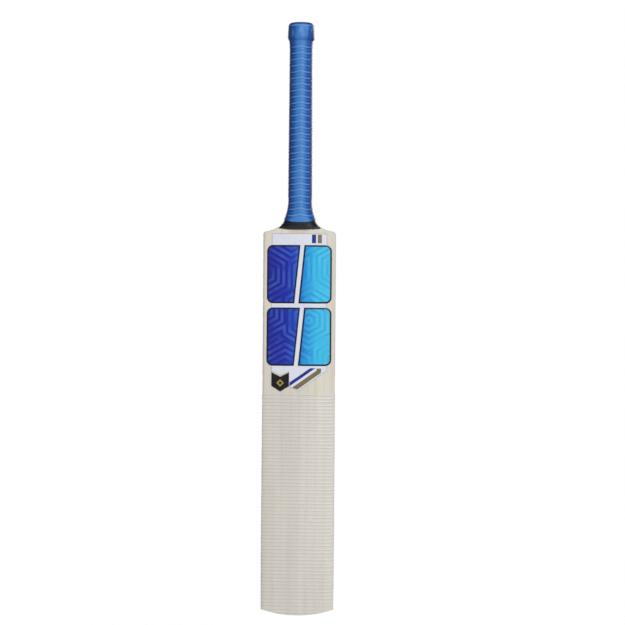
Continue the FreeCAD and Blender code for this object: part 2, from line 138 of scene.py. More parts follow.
def shoulder_z(x):
    across, above = np.array(SHOULDER_LINE).T * MM
    return BLADE_LENGTH + np.interp(np.abs(x), across, above)


ACROSS = 65                   # points across the face, and as many across the back
SIDE = 13                     # points from face to back on each edge


def blade_ring(row, grow, corner_inset):
    """One loop round the blade: face, edge, back, edge. row runs from 0 at the toe to 1."""
    middle_z = row * BLADE_LENGTH
    half = half_width(middle_z) + grow - corner_inset
    spread = np.sin(np.linspace(-1, 1, ACROSS) * 0.5 * math.pi * 0.8) / math.sin(0.4 * math.pi)
    face_x = spread * (half - FRONT_ROUND)
    back_x = -spread * (half - BACK_ROUND)
    turn = np.array([0.25, 0.5, 0.75])
    flat = np.linspace(0, 1, SIDE - 6)
    side_x = np.concatenate([half - FRONT_ROUND * (1 - turn) ** 2, np.full(len(flat), half),
                             half - BACK_ROUND * turn ** 2])
    x = np.concatenate([face_x, side_x, back_x, -side_x[::-1]])
    y = np.zeros_like(x)
    for _ in range(3):
        low = toe_z(x, y)
        z = low + row * (shoulder_z(x) - low)
        y_front = face_y(x, z) - grow
        y_back = back_y(x, z) + grow
        edge_front = edge_front_y(z) - grow
        edge_back = edge_back_y(z) + grow
        a, b = ACROSS, ACROSS + SIDE
        y[:a] = y_front[:a]
        y[b:b + a] = y_back[b:b + a]
        for start, way in ((a, 1), (b + a, -1)):
            part = slice(start, start + SIDE)
            f, g = edge_front[part][::way], edge_back[part][::way]
            run = np.empty(SIDE)
            run[:3] = f[:3] + FRONT_ROUND * turn ** 2
            lower, upper = f[3:-3] + FRONT_ROUND, g[3:-3] - BACK_ROUND
            run[3:-3] = lower + (upper - lower) * flat
            run[-3:] = g[-3:] - BACK_ROUND * (1 - turn) ** 2
            y[part] = run[::way]
    return np.stack([x, y, z], axis=1)


def end_rows(reach, count):
    """Distances from an end for rows that follow a rounding of that radius."""
    return [reach * (1 - math.cos(0.5 * math.pi * k / count)) for k in range(count)]


def drawn_back(depth, radius):
    """How far a rounding of that radius has drawn a wall in, at a depth below its end."""
    away = max(radius - depth, 0.0)
    return radius - math.sqrt(max(radius ** 2 - away ** 2, 0.0))


def body_mesh():
    """The blade below its shoulders, as rings closed by a grid at each end."""
    length = BLADE_LENGTH
    near = end_rows(TOE_ROUND, 8)
    middle = list(np.linspace(TOE_ROUND, length - SHOULDER_ROUND, 190))
    far = [length - d for d in reversed(end_rows(SHOULDER_ROUND, 6))]
    rings = []
    for height in near + middle + far:
        depth, corner_round = min((height, TOE_ROUND), (length - height, SHOULDER_ROUND))
        rings.append(blade_ring(height / length, -drawn_back(depth, EDGE_ROUND),
                                drawn_back(depth, corner_round)))
    points, faces = tube(rings, "open")
    for r, flip in ((0, True), (len(rings) - 1, False)):
        faces.extend(end_grid(r * len(rings[0]), points, rings[r], flip))
    return points, faces


def end_grid(base, points, ring, flip):
    """Quads over one end: rows of points from the face's edge of the ring to the back's."""
    a, s = ACROSS, SIDE
    rows = [[base + k for k in range(a)]]
    for j in range(s):
        right = base + a + j
        left = base + 2 * a + 2 * s - 1 - j
        share = (ring[a + j][1] - ring[a - 1][1]) / (ring[a + s][1] - ring[a - 1][1])
        row = [left]
        for i in range(1, a - 1):
            front = ring[i]
            back = ring[2 * a + s - 1 - i]
            points.append(tuple(front + (back - front) * share))
            row.append(len(points) - 1)
        row.append(right)
        rows.append(row)
    rows.append([base + a + s + k for k in range(a - 1, -1, -1)])
    faces = []
    for low, high in zip(rows, rows[1:]):
        for i in range(a - 1):
            quad = (low[i], low[i + 1], high[i + 1], high[i])
            faces.append(quad[::-1] if flip else quad)
    return faces


def full_turn(count):
    return np.linspace(0, 2 * math.pi, count, endpoint=False)


def oval(turn, z, half_x, half_y, centre_y, power):
    """Points round an oval, each at its own z. Power 2 is an ellipse, a higher one is boxier."""
    across, deep = np.cos(turn), np.sin(turn)
    x = half_x * np.sign(across) * np.abs(across) ** (2 / power)
    y = centre_y + half_y * np.sign(deep) * np.abs(deep) ** (2 / power)
    return np.stack([x, y, np.broadcast_to(z, turn.shape)], axis=1)


# Height above the blade's corners, half width, half depth, centre and boxiness.
NECK = np.array([(-2.0, 34.0, 15.15, 1.65, 3.4), (5.5, 30.2, 15.25, 1.65, 3.0),
                 (11.5, 25.0, 15.35, 1.3, 2.7), (17.5, 21.8, 15.45, 0.9, 2.45),
                 (29.5, 17.4, 15.0, 0.35, 2.15), (39.5, 15.6, 14.6, 0.1, 2.0),
                 (49.0, 14.2, 14.2, 0.0, 2.0)])


def neck_at(z):
    """Half width, half depth, centre and boxiness of the neck at each height."""
    above = NECK[:, 0]
    half_x, half_y, centre_y, power = (
        smooth_curve(above, column, np.gradient(column, above), (z - BLADE_LENGTH) / MM)
        for column in NECK.T[1:])
    return half_x * MM, half_y * MM, centre_y * MM, power


def tube(rings, ends="flat"):
    """Quads between rings of equal count. Its ends are flat caps, open, or joined to each other."""
    count, last = len(rings[0]), len(rings) - 1
    points = [tuple(p) for ring in rings for p in ring]
    faces = []
    for r in range(last + 1 if ends == "joined" else last):
        low, high = r * count, (r + 1) % (last + 1) * count
        for k in range(count):
            n = (k + 1) % count
            faces.append((low + k, low + n, high + n, high + k))
    if ends == "flat":
        faces.append(tuple(range(count - 1, -1, -1)))
        faces.append(tuple(last * count + k for k in range(count)))
    return points, faces


def neck_mesh():
    turn = full_turn(96)
    return tube([oval(turn, z, *neck_at(z)) for z in np.linspace(BLADE_LENGTH - 2 * MM, NECK_TOP, 40)])


def wedge_mesh():
    """The V that is sawn out for the handle's splice."""
    top = NECK_TOP + 1 * MM
    tip = BLADE_LENGTH - SPLICE_DEPTH
    wide, narrow, deep = 13.45 * MM, 2.0 * MM, 60 * MM
    corners = ((-wide, top), (wide, top), (narrow, tip), (-narrow, tip))
    points = [(x, y, z) for y in (-deep, deep) for x, z in corners]
    faces = [(3, 2, 1, 0), (4, 5, 6, 7), (0, 1, 5, 4), (1, 2, 6, 5), (2, 3, 7, 6), (3, 0, 4, 7)]
    return points, faces


def new_object(name, points, faces):
    mesh = bpy.data.meshes.new(name)
    mesh.from_pydata([tuple(p) for p in points], [], faces)
    piece = bpy.data.objects.new(name, mesh)
    bpy.context.scene.collection.objects.link(piece)
    return piece


def outward(piece):
    """Merges doubled points and turns all faces outwards."""
    work = bmesh.new()
    work.from_mesh(piece.data)
    bmesh.ops.remove_doubles(work, verts=work.verts, dist=1e-7)
    bmesh.ops.dissolve_degenerate(work, edges=work.edges, dist=1e-7)
    bmesh.ops.recalc_face_normals(work, faces=work.faces)
    work.to_mesh(piece.data)
    work.free()


def smooth(piece, degrees=35.0):
    """Smooth shading, with creases where faces meet at more than the given angle."""
    piece.data.shade_smooth()
    piece.data.set_sharp_from_angle(angle=math.radians(degrees))


def baked_mesh(piece):
    """Turns what the modifiers give into a plain mesh and removes the modifiers."""
    bpy.context.view_layer.update()
    graph = bpy.context.evaluated_depsgraph_get()
    mesh = bpy.data.meshes.new_from_object(piece.evaluated_get(graph), depsgraph=graph)
    piece.modifiers.clear()
    old = piece.data
    piece.data = mesh
    bpy.data.meshes.remove(old)


def carve(piece, tool, operation):
    change = piece.modifiers.new("carve", "BOOLEAN")
    change.operation = operation
    change.object = tool
    change.solver = "EXACT"
    baked_mesh(piece)
    bpy.data.objects.remove(tool)


def solid(name, points, faces):
    """A new object whose faces all point outwards."""
    piece = new_object(name, points, faces)
    outward(piece)
    return piece


blade = solid("willow_blade", *body_mesh())
carve(blade, solid("neck_tool", *neck_mesh()), "UNION")
carve(blade, solid("wedge_tool", *wedge_mesh()), "DIFFERENCE")
outward(blade)
smooth(blade, 32)


def screen(red, green, blue):
    """Linear colour from 0-255 screen values."""
    return tuple(((c / 255 + 0.055) / 1.055) ** 2.4 for c in (red, green, blue)) + (1.0,)


def add(tree, kind, links=None, **settings):
    """One node: links feed its inputs by name or number, settings set its properties."""
    node = tree.nodes.new(kind)
    for name, value in settings.items():
        setattr(node, name, value)
    for socket, source in (links or {}).items():
        entry = node.inputs[socket]
        if isinstance(source, bpy.types.NodeSocket):
            tree.links.new(source, entry)
        else:
            entry.default_value = source
    return node


def own_place(tree):
    """Object coordinates, which stay with the piece."""
    return add(tree, "ShaderNodeTexCoord").outputs["Object"]


def plain_material(name, **sockets):
    """A new material, its Principled shader with the given constants, and Object coordinates."""
    material = bpy.data.materials.new(name)
    material.use_nodes = True
    shader = material.node_tree.nodes["Principled BSDF"]
    for socket, value in sockets.items():
        shader.inputs[socket.replace("_", " ")].default_value = value
    return material, shader, own_place(material.node_tree)


def home(*values):
    """The node tree that the first socket among the values belongs to."""
    return next(value.id_data for value in values if isinstance(value, bpy.types.NodeSocket))


def reckon(operation, *values):
    """One sum with sockets and numbers, by a Math node."""
    return add(home(*values), "ShaderNodeMath", dict(enumerate(values)), operation=operation).outputs[0]


def times(product, *factors):
    for factor in factors:
        product = reckon("MULTIPLY", product, factor)
    return product


def fade(value, low, high, to_low=0.0, to_high=1.0, kind="SMOOTHSTEP"):
    """What becomes of the value: to_low at low, to_high at high, and level past both."""
    return add(value.id_data, "ShaderNodeMapRange", {0: value, 1: low, 2: high, 3: to_low, 4: to_high},
               interpolation_type=kind).outputs[0]


def mix_colour(factor, a, b, blend="MIX"):
    return add(home(factor, a, b), "ShaderNodeMix", {0: factor, 6: a, 7: b}, data_type="RGBA",
               blend_type=blend).outputs[2]


def noise(here, scale, detail=3.0):
    """Noise with its own scale along each axis, per metre."""
    mapped = add(here.id_data, "ShaderNodeMapping", {0: here, 3: scale}).outputs[0]
    return add(here.id_data, "ShaderNodeTexNoise", {"Vector": mapped, "Scale": 1.0, "Detail": detail,
                                                    "Roughness": 0.55}).outputs[0]


def axes(vector):
    """A vector's X, Y and Z."""
    return tuple(add(vector.id_data, "ShaderNodeSeparateXYZ", {0: vector}).outputs)


def feed(shader, colour, roughness=None, bump=None):
    """Links the shader's colour, roughness and bump, which is a height, its strength and distance."""
    links = shader.id_data.links
    links.new(colour, shader.inputs["Base Color"])
    if roughness is not None:
        links.new(roughness, shader.inputs["Roughness"])
    if bump is not None:
        relief = add(shader.id_data, "ShaderNodeBump", dict(zip(("Height", "Strength", "Distance"), bump)))
        links.new(relief.outputs[0], shader.inputs["Normal"])


def shader_group(name, inputs, outputs):
    """An empty shader node group with named sockets."""
    group = bpy.data.node_groups.new(name, "ShaderNodeTree")
    for label, kind, value in inputs:
        socket = group.interface.new_socket(name=label, in_out="INPUT", socket_type=kind)
        socket.default_value = value
    for label, kind in outputs:
        group.interface.new_socket(name=label, in_out="OUTPUT", socket_type=kind)
    start = group.nodes.new("NodeGroupInput").outputs
    end = group.nodes.new("NodeGroupOutput").inputs
    return group, start, end


def wood_grain_group():
    """Growth lines across X, fibres along Z, and broad changes of tone."""
    group, given, out = shader_group(
        "wood_grain",
        [("Pale", "NodeSocketColor", (0.7, 0.62, 0.5, 1)), ("Late", "NodeSocketColor", (0.5, 0.4, 0.28, 1)),
         ("Line Pitch", "NodeSocketFloat", 0.012), ("Line Strength", "NodeSocketFloat", 0.3),
         ("Fibre Strength", "NodeSocketFloat", 0.3)],
        [("Color", "NodeSocketColor"), ("Roughness", "NodeSocketFloat"), ("Height", "NodeSocketFloat")])
    here = own_place(group)
    x, y, _ = axes(here)
    sway = reckon("MULTIPLY_ADD", noise(here, (9.0, 9.0, 1.6), 2.0), 0.016, -0.008)
    across = reckon("ADD", reckon("MULTIPLY_ADD", y, 0.1, x), sway)
    turn = reckon("FRACT", reckon("DIVIDE", across, given["Line Pitch"]))
    patchy = fade(noise(here, (70.0, 70.0, 5.0), 2.0), 0.3, 0.7, 0.45, 1.0)
    line = times(fade(turn, 0.45, 0.93), fade(turn, 0.93, 1.0, 1.0, 0.0), patchy, given["Line Strength"])
    tone = mix_colour(line, given["Pale"], given["Late"])
    fibre = noise(here, (1500.0, 1500.0, 22.0), 4.0)
    soft_fibre = fade(fibre, 0.3, 0.7)
    streak = times(reckon("SUBTRACT", 1.0, soft_fibre), given["Fibre Strength"])
    tone = mix_colour(streak, tone, given["Late"])
    broad = fade(noise(here, (26.0, 26.0, 2.5), 3.0), 0.3, 0.7)
    shade = fade(broad, 0.0, 1.0, 0.93, 1.03, "LINEAR")
    grey = add(group, "ShaderNodeCombineColor", {0: shade, 1: shade, 2: shade}).outputs[0]
    group.links.new(mix_colour(1.0, tone, grey, "MULTIPLY"), out["Color"])
    group.links.new(fade(fibre, 0.3, 0.7, 0.42, 0.6), out["Roughness"])
    group.links.new(soft_fibre, out["Height"])
    return group


WOOD_GRAIN = wood_grain_group()


def use_wood(here, pale, late, pitch, line, fibre):
    node = here.id_data.nodes.new("ShaderNodeGroup")
    node.node_tree = WOOD_GRAIN
    for socket, value in (("Pale", (*pale, 1)), ("Late", (*late, 1)), ("Line Pitch", pitch),
                          ("Line Strength", line), ("Fibre Strength", fibre)):
        node.inputs[socket].default_value = value
    return node.outputs


STAMP_RADIUS = 12.2 * MM                    # a disc burnt into the left edge
STAMP_RING = 9.2 * MM                       # and a paler ring inside it
STAMP_Z = 332 * MM
STAMP_PLACE = (-BLADE_HALF, float(edge_front_y(STAMP_Z)) + 22 * MM, STAMP_Z)
DIAMOND_PITCH = 22 * MM                     # three diamonds burnt side by side into the toe's back
DIAMOND_REACH = 9.3 * MM
DIAMOND_Z = 38 * MM


def burnt_disc(here, blotch):
    """1 inside the disc on the edge, and less along its ring."""
    away = add(here.id_data, "ShaderNodeVectorMath", {0: here, 1: STAMP_PLACE},
               operation="DISTANCE").outputs[1]
    rough = reckon("MULTIPLY_ADD", blotch, 1.2 * MM, away)
    ring = reckon("ABSOLUTE", reckon("SUBTRACT", away, STAMP_RING))
    return times(fade(rough, STAMP_RADIUS + 0.4 * MM, STAMP_RADIUS - 0.4 * MM),
                 fade(ring, 0.4 * MM, 0.9 * MM, 0.25, 1.0))


def burnt_diamonds(x, y, z):
    """1 inside the row of diamonds on the back of the toe."""
    reach = 1.5 * DIAMOND_PITCH
    step = times(reckon("ADD", x, reach), 1 / DIAMOND_PITCH)
    slant = reckon("ABSOLUTE", reckon("SUBTRACT", reckon("FRACT", step), 0.5))
    rise = reckon("ABSOLUTE", reckon("SUBTRACT", z, DIAMOND_Z))
    diamond = reckon("MULTIPLY_ADD", slant, DIAMOND_PITCH, rise)
    row = reckon("LESS_THAN", reckon("ABSOLUTE", x), reach)
    return times(fade(diamond, DIAMOND_REACH + 0.5 * MM, DIAMOND_REACH - 0.5 * MM), row,
                 fade(y, -0.022, -0.018))


def willow_material():
    """Pale willow, warmer towards the toe and on the back, with tan heartwood in the edges. A
    plain round mark is burnt into one edge and a row of diamonds into the back of the toe."""
    material, shader, here = plain_material("willow", Coat_Weight=0.12, Coat_Roughness=0.35)
    grain = use_wood(here, (0.74, 0.695, 0.60), (0.52, 0.43, 0.31), 0.0125, 0.25, 0.14)
    x, y, z = axes(here)
    blotch = noise(here, (14.0, 14.0, 5.0), 3.0)
    warm = times(fade(z, 0.30, 0.02), fade(y, -0.030, 0.012), fade(blotch, 0.2, 0.75), 0.85)
    tone = mix_colour(warm, grain["Color"], (0.80, 0.62, 0.40, 1), "MULTIPLY")
    limit = reckon("MULTIPLY_ADD", z, 0.135, -0.042)
    wander = reckon("MULTIPLY_ADD", blotch, 0.008, -0.004)
    inside_heart = fade(reckon("SUBTRACT", reckon("ADD", limit, wander), y), 0.0, 0.0035)
    heart = times(inside_heart, fade(z, 0.33, 0.24), fade(reckon("ABSOLUTE", x), 0.046, 0.051), 0.75)
    tone = mix_colour(heart, tone, (0.86, 0.70, 0.52, 1), "MULTIPLY")
    burnt = reckon("MAXIMUM", burnt_disc(here, blotch), burnt_diamonds(x, y, z))
    tone = mix_colour(times(burnt, fade(blotch, 0.1, 0.5, 0.7, 0.95)), tone, screen(76, 56, 34))
    feed(shader, tone, grain["Roughness"], (grain["Height"], 0.12, 0.0004))
    return material


WILLOW = willow_material()


def dress(piece, materials, slot, *replaced):
    """Materials, body and replaced CAD nodes of a finished piece. The slot argument is not used."""
    if not piece.data.materials:
        for material in materials:
            piece.data.materials.append(material)
    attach(piece, "root")
    if replaced:
        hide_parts(*replaced)
    return piece


dress(blade, [WILLOW], "willow", "blade")


# ---- cane handle -------------------------------------------------------------------
# Twelve strips of cane in four slabs, glued up, turned round above the shoulders and cut to
# a V below them. They are the frame's own solids, and only their straw-coloured cane is made.
def cane_material():
    """Cane with dark pores drawn out along it, paler where willow covers it."""
    material, shader, here = plain_material("cane", Roughness=0.55)
    grain = use_wood(here, (0.62, 0.50, 0.33), (0.36, 0.23, 0.11), 0.0011, 0.5, 0.5)
    drawn_out = add(here.id_data, "ShaderNodeMapping", {0: here, 3: (1.0, 1.0, 0.02)}).outputs[0]
    pores = add(here.id_data, "ShaderNodeTexVoronoi",
                {"Vector": drawn_out, "Scale": 1100.0}).outputs["Distance"]
    tone = mix_colour(fade(pores, 0.0, 0.32, 0.7, 0.0), grain["Color"], (0.20, 0.11, 0.05, 1))
    covered = fade(axes(here)[2], BLADE_LENGTH + 7 * MM, BLADE_LENGTH + 1 * MM)
    tone = mix_colour(times(covered, 0.8), tone, (0.70, 0.63, 0.51, 1))
    feed(shader, tone, bump=(pores, 0.3, 0.0003))
    return material


def paint_nodes(start, material):
    """Gives the material to the frame's own solids whose names start so."""
    for name, node in nodes.items():
        if name.startswith(start):
            node.data.materials.clear()
            node.data.materials.append(material)


paint_nodes("cane_", cane_material())


# ---- rubber springs ----------------------------------------------------------------
# Three thin strips of black rubber glued between the cane slabs, which let the handle flex.
def spring_material():
    material, shader, here = plain_material("spring_rubber", Specular_IOR_Level=0.3)
    speck = noise(here, (900, 900, 900), 4.0)
    tone = mix_colour(speck, (0.012, 0.011, 0.010, 1), (0.035, 0.032, 0.03, 1))
    feed(shader, tone, fade(speck, 0.2, 0.8, 0.6, 0.85))
    return material


paint_nodes("rubber_spring_", spring_material())


# ---- twine binding -----------------------------------------------------------------
# Waxed twine wound tightly round the cane, turn beside turn, under the grip. One spiral
# curve with a round section, made by Geometry Nodes.
def geometry_tree(name, *sizes):
    """A geometry node tree that takes a mesh, named sizes and a material, and gives a mesh."""
    tree = bpy.data.node_groups.new(name, "GeometryNodeTree")
    tree.interface.new_socket(name="Mesh", in_out="INPUT", socket_type="NodeSocketGeometry")
    for label in sizes:
        tree.interface.new_socket(name=label, in_out="INPUT", socket_type="NodeSocketFloat")
    tree.interface.new_socket(name="Material", in_out="INPUT", socket_type="NodeSocketMaterial")
    tree.interface.new_socket(name="Mesh", in_out="OUTPUT", socket_type="NodeSocketGeometry")
    return tree, tree.nodes.new("NodeGroupInput").outputs


def finish_tree(tree, given, source):
    """Realize Instances and Set Material, then the output."""
    real = add(tree, "GeometryNodeRealizeInstances", {0: source}).outputs[0]
    painted = add(tree, "GeometryNodeSetMaterial", {0: real, "Material": given["Material"]})
    tree.links.new(painted.outputs[0], tree.nodes.new("NodeGroupOutput").inputs[0])
    return tree


def run_tree(piece, tree, **values):
    """Adds the tree to the piece, sets its named inputs and keeps the plain mesh."""
    change = piece.modifiers.new(tree.name, "NODES")
    change.node_group = tree
    for item in tree.interface.items_tree:
        label = item.name.replace(" ", "_")
        if item.in_out == "INPUT" and label in values:
            change[item.identifier] = values[label]
    baked_mesh(piece)


def twine_material():
    material, shader, here = plain_material("twine", Roughness=0.8)
    hair = noise(here, (2500, 2500, 1200), 4.0)
    tone = mix_colour(hair, (0.42, 0.33, 0.20, 1), (0.68, 0.58, 0.42, 1))
    feed(shader, tone, bump=(hair, 0.4, 0.0002))
    return material


def twine_tree():
    """A spiral with a round section, lifted to its base."""
    tree, given = geometry_tree("wind_twine", "Radius", "Height", "Turns", "Thickness", "Base")
    spiral = add(tree, "GeometryNodeCurveSpiral",
                 {"Resolution": 20, "Rotations": given["Turns"], "Start Radius": given["Radius"],
                  "End Radius": given["Radius"], "Height": given["Height"]}).outputs[0]
    circle = add(tree, "GeometryNodeCurvePrimitiveCircle",
                 {"Resolution": 6, "Radius": times(given["Thickness"], 0.5)}).outputs[0]
    wound = add(tree, "GeometryNodeCurveToMesh",
                {0: spiral, "Profile Curve": circle, "Fill Caps": True}).outputs[0]
    up = add(tree, "ShaderNodeCombineXYZ", {2: given["Base"]}).outputs[0]
    moved = add(tree, "GeometryNodeTransform", {0: wound, "Translation": up}).outputs[0]
    return finish_tree(tree, given, moved)


twine_low, twine_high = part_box("twine_binding")
TWINE_THICK = 0.7 * MM
TWINE = twine_material()
twine = new_object("wound_twine", [(0, 0, 0)], [])
twine_height = twine_high.z - twine_low.z - TWINE_THICK
run_tree(twine, twine_tree(), Radius=twine_high.x - 0.5 * TWINE_THICK, Height=twine_height,
         Turns=twine_height / TWINE_THICK, Thickness=TWINE_THICK, Base=twine_low.z + 0.5 * TWINE_THICK,
         Material=TWINE)
smooth(twine, 80)
dress(twine, [TWINE], "twine", "twine_binding")


# ---- grip --------------------------------------------------------------------------
# A moulded rubber sleeve rolled on to the handle. Its shaft is covered in chevron ribs, a
# strong and a weak one by turns, with four peaks round it; its collar is thick and smooth.
GRIP_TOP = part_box("grip")[1].z
SHAFT_TOP_RADIUS = 16.75 * MM
SHAFT_LOW_RADIUS = 17.6 * MM
SHAFT_JOIN = NECK_TOP + 8.0 * MM            # the shaft is round from here up
SHAFT_BLEND = 26.0 * MM                     # and turns into the neck's shape over this height
COLLAR_FOOT = GRIP_TOP - 29.0 * MM
GRIP_SKIN = 2.2 * MM
GRIP_BORE = twine_high.x + 0.1 * MM
FOOT_SIDE_Z = BLADE_LENGTH + 18.7 * MM      # the foot's edge at both sides of the handle
FOOT_SAG = 4.2 * MM                         # it hangs this much lower at face and back
AROUND = 96
RIB_PITCH = 9.06 * MM                       # from one strong rib to the next
RIB_DEPTH = 0.45 * MM
CHEVRON_PEAKS = 4
CHEVRON_DROP = 1.6 * MM
RIB_STEPS = (0.0, 0.07, 0.16, 0.3, 0.5, 0.7, 0.84, 0.9, 0.95)
# Radius, and distance below the grip's top.
COLLAR_PROFILE = ((17.25, 29.0), (17.35, 28.2), (17.45, 27.2), (17.75, 26.2), (18.8, 24.6), (19.45, 22.9),
                  (19.65, 21.6), (19.6, 19.5), (19.35, 15.0), (19.12, 10.5), (18.95, 7.0), (18.83, 5.7),
                  (18.75, 5.2), (18.93, 4.8), (18.97, 4.4), (18.8, 4.0), (18.45, 3.7), (18.2, 3.2),
                  (17.8, 2.4), (17.1, 1.4), (16.2, 0.6), (15.2, 0.15), (14.2, 0.0), (13.2, 0.05),
                  (12.3, 0.3), (11.5, 0.8), (11.05, 1.5), (11.1, 2.1), (11.5, 2.4), (14.0, 2.5), (14.2, 2.9))
# Where bands of tone fade in, are full, are still full and have faded out, below the grip's top.
STREAKED_COLLAR = (22.0, 19.0, 7.5, 5.5)
# A ring of painted highlight near the rim.
PAINTED_RIM_HIGHLIGHT = (6.2, 5.4, 3.6, 2.8)
# A band of painted shade under the collar.
PAINTED_UNDER_COLLAR_SHADE = (28.5, 26.0, 22.0, 19.5)


def grip_outline(z):
    """Half width, half depth, centre and boxiness of the grip's shaft at each height."""
    rise = (z - SHAFT_JOIN) / (COLLAR_FOOT - SHAFT_JOIN)
    radius = SHAFT_LOW_RADIUS + (SHAFT_TOP_RADIUS - SHAFT_LOW_RADIUS) * np.clip(rise / 0.94, 0, 1)
    radius = radius + 0.5 * MM * np.maximum(0, (rise - 0.95) / 0.05) ** 2
    half_x, half_y, centre_y, power = neck_at(z)
    half_x, half_y = half_x + GRIP_SKIN, half_y + GRIP_SKIN
    t = np.clip((z - SHAFT_JOIN + SHAFT_BLEND) / SHAFT_BLEND, 0, 1)
    t = t * t * (3 - 2 * t)
    return (half_x + (radius - half_x) * t, half_y + (radius - half_y) * t,
            centre_y * (1 - t), power + (2 - power) * t)


def foot_edge(turn):
    """Height of the grip's foot, which hangs lower at the face and the back."""
    return FOOT_SIDE_Z - FOOT_SAG * np.sin(turn) ** 2


def chevron(turn):
    """How far a rib lies below its peaks, from 0 to 1."""
    return np.abs(np.sin(0.5 * CHEVRON_PEAKS * turn)) ** 0.9


def grip_mesh():
    """Outside, collar, lip and bore as one closed skin. Its rows follow the ribs."""
    turn = full_turn(AROUND)
    foot = foot_edge(turn)
    half_pitch = 0.5 * RIB_PITCH
    first = int(math.ceil((FOOT_SIDE_Z + 0.8 * MM) / half_pitch))
    last = int(math.floor(COLLAR_FOOT / half_pitch))
    lowest = first * half_pitch - CHEVRON_DROP * chevron(turn)
    levels = [foot + (lowest - foot) * part for part in (0.0, 0.15, 0.3, 0.5, 0.75)]
    share = [np.zeros(AROUND) for _ in levels]
    for peak in ((rib + step) * half_pitch for rib in range(first, last + 1) for step in RIB_STEPS):
        if peak > COLLAR_FOOT - 0.4 * MM:
            continue
        flat = min(1.0, max(0.0, (last * half_pitch - peak) / (14 * MM)))
        level = peak - CHEVRON_DROP * chevron(turn) * flat
        levels.append(level)
        near_foot = np.clip((level - foot + 1 * MM) / (4 * MM), 0, 1)
        share.append(near_foot * min(1.0, max(0.0, (COLLAR_FOOT - level.max()) / (1 * MM))))
    rings = [oval(turn, level, *grip_outline(level)) for level in levels]
    for radius, drop in COLLAR_PROFILE:
        rings.append(oval(turn, GRIP_TOP - drop * MM, radius * MM, radius * MM, 0.0, 2.0))
    for z in np.linspace(GRIP_TOP - 5 * MM, NECK_TOP + 1 * MM, 12):
        rings.append(oval(turn, z, GRIP_BORE, GRIP_BORE, 0.0, 2.0))
    for part in np.linspace(0, 1, 14):
        level = NECK_TOP + (foot - NECK_TOP) * part
        ring = oval(turn, level, *neck_at(level))
        ring[:, :2] *= 1 + 0.15 * MM / np.linalg.norm(ring[:, :2], axis=1)[:, None]
        rings.append(ring)
    points, faces = tube(rings, "joined")
    weights = np.zeros(len(points))
    weights[:len(share) * AROUND] = np.concatenate(share)
    return points, faces, weights


def stored(tree, name):
    """A number that each point of the mesh carries."""
    return add(tree, "GeometryNodeInputNamedAttribute", {"Name": name}, data_type="FLOAT").outputs[0]


def pushed_out(given, push):
    """The tree's mesh with every point moved along its normal."""
    tree = push.id_data
    normal = add(tree, "GeometryNodeInputNormal").outputs[0]
    offset = add(tree, "ShaderNodeVectorMath", {0: normal, "Scale": push}, operation="SCALE").outputs[0]
    return add(tree, "GeometryNodeSetPosition", {0: given["Mesh"], "Offset": offset}).outputs[0]


def grip_tree():
    """Raises shingled ribs out of the shaft, strong and weak by turns, along the mesh's chevrons."""
    tree, given = geometry_tree("raise_ribs", "Pitch", "Depth", "Peaks", "Drop", "Weak Share")
    x, y, z = axes(add(tree, "GeometryNodeInputPosition").outputs[0])
    swing = reckon("SINE", times(reckon("ARCTAN2", y, x), given["Peaks"], 0.5))
    swing = reckon("POWER", reckon("ABSOLUTE", swing), 0.9)
    share = reckon("DIVIDE", reckon("MULTIPLY_ADD", swing, given["Drop"], z), given["Pitch"])
    step = reckon("FRACT", reckon("ADD", times(share, 2.0), 0.0005))
    slope = reckon("MAXIMUM", reckon("SUBTRACT", 1.0, reckon("DIVIDE", step, 0.85)), 0.0)
    crest = reckon("MAXIMUM", reckon("POWER", slope, 0.8), fade(step, 0.86, 1.0))
    weak = reckon("GREATER_THAN", reckon("FRACT", reckon("ADD", share, 0.04)), 0.5)
    size = reckon("SUBTRACT", 1.0, times(weak, given["Weak Share"]))
    rib = stored(tree, "rib")
    raised = times(crest, size, rib)
    push = times(reckon("SUBTRACT", raised, times(rib, 0.5)), given["Depth"])
    kept = add(tree, "GeometryNodeStoreNamedAttribute",
               {0: pushed_out(given, push), "Name": "crest", "Value": raised},
               data_type="FLOAT", domain="POINT").outputs[0]
    return finish_tree(tree, given, kept)


def grip_band(height, drops):
    """1 in a band round the grip, and 0 above and below it."""
    low, full, high, end = (GRIP_TOP - drop * MM for drop in drops)
    return times(fade(height, low, full), fade(height, end, high))


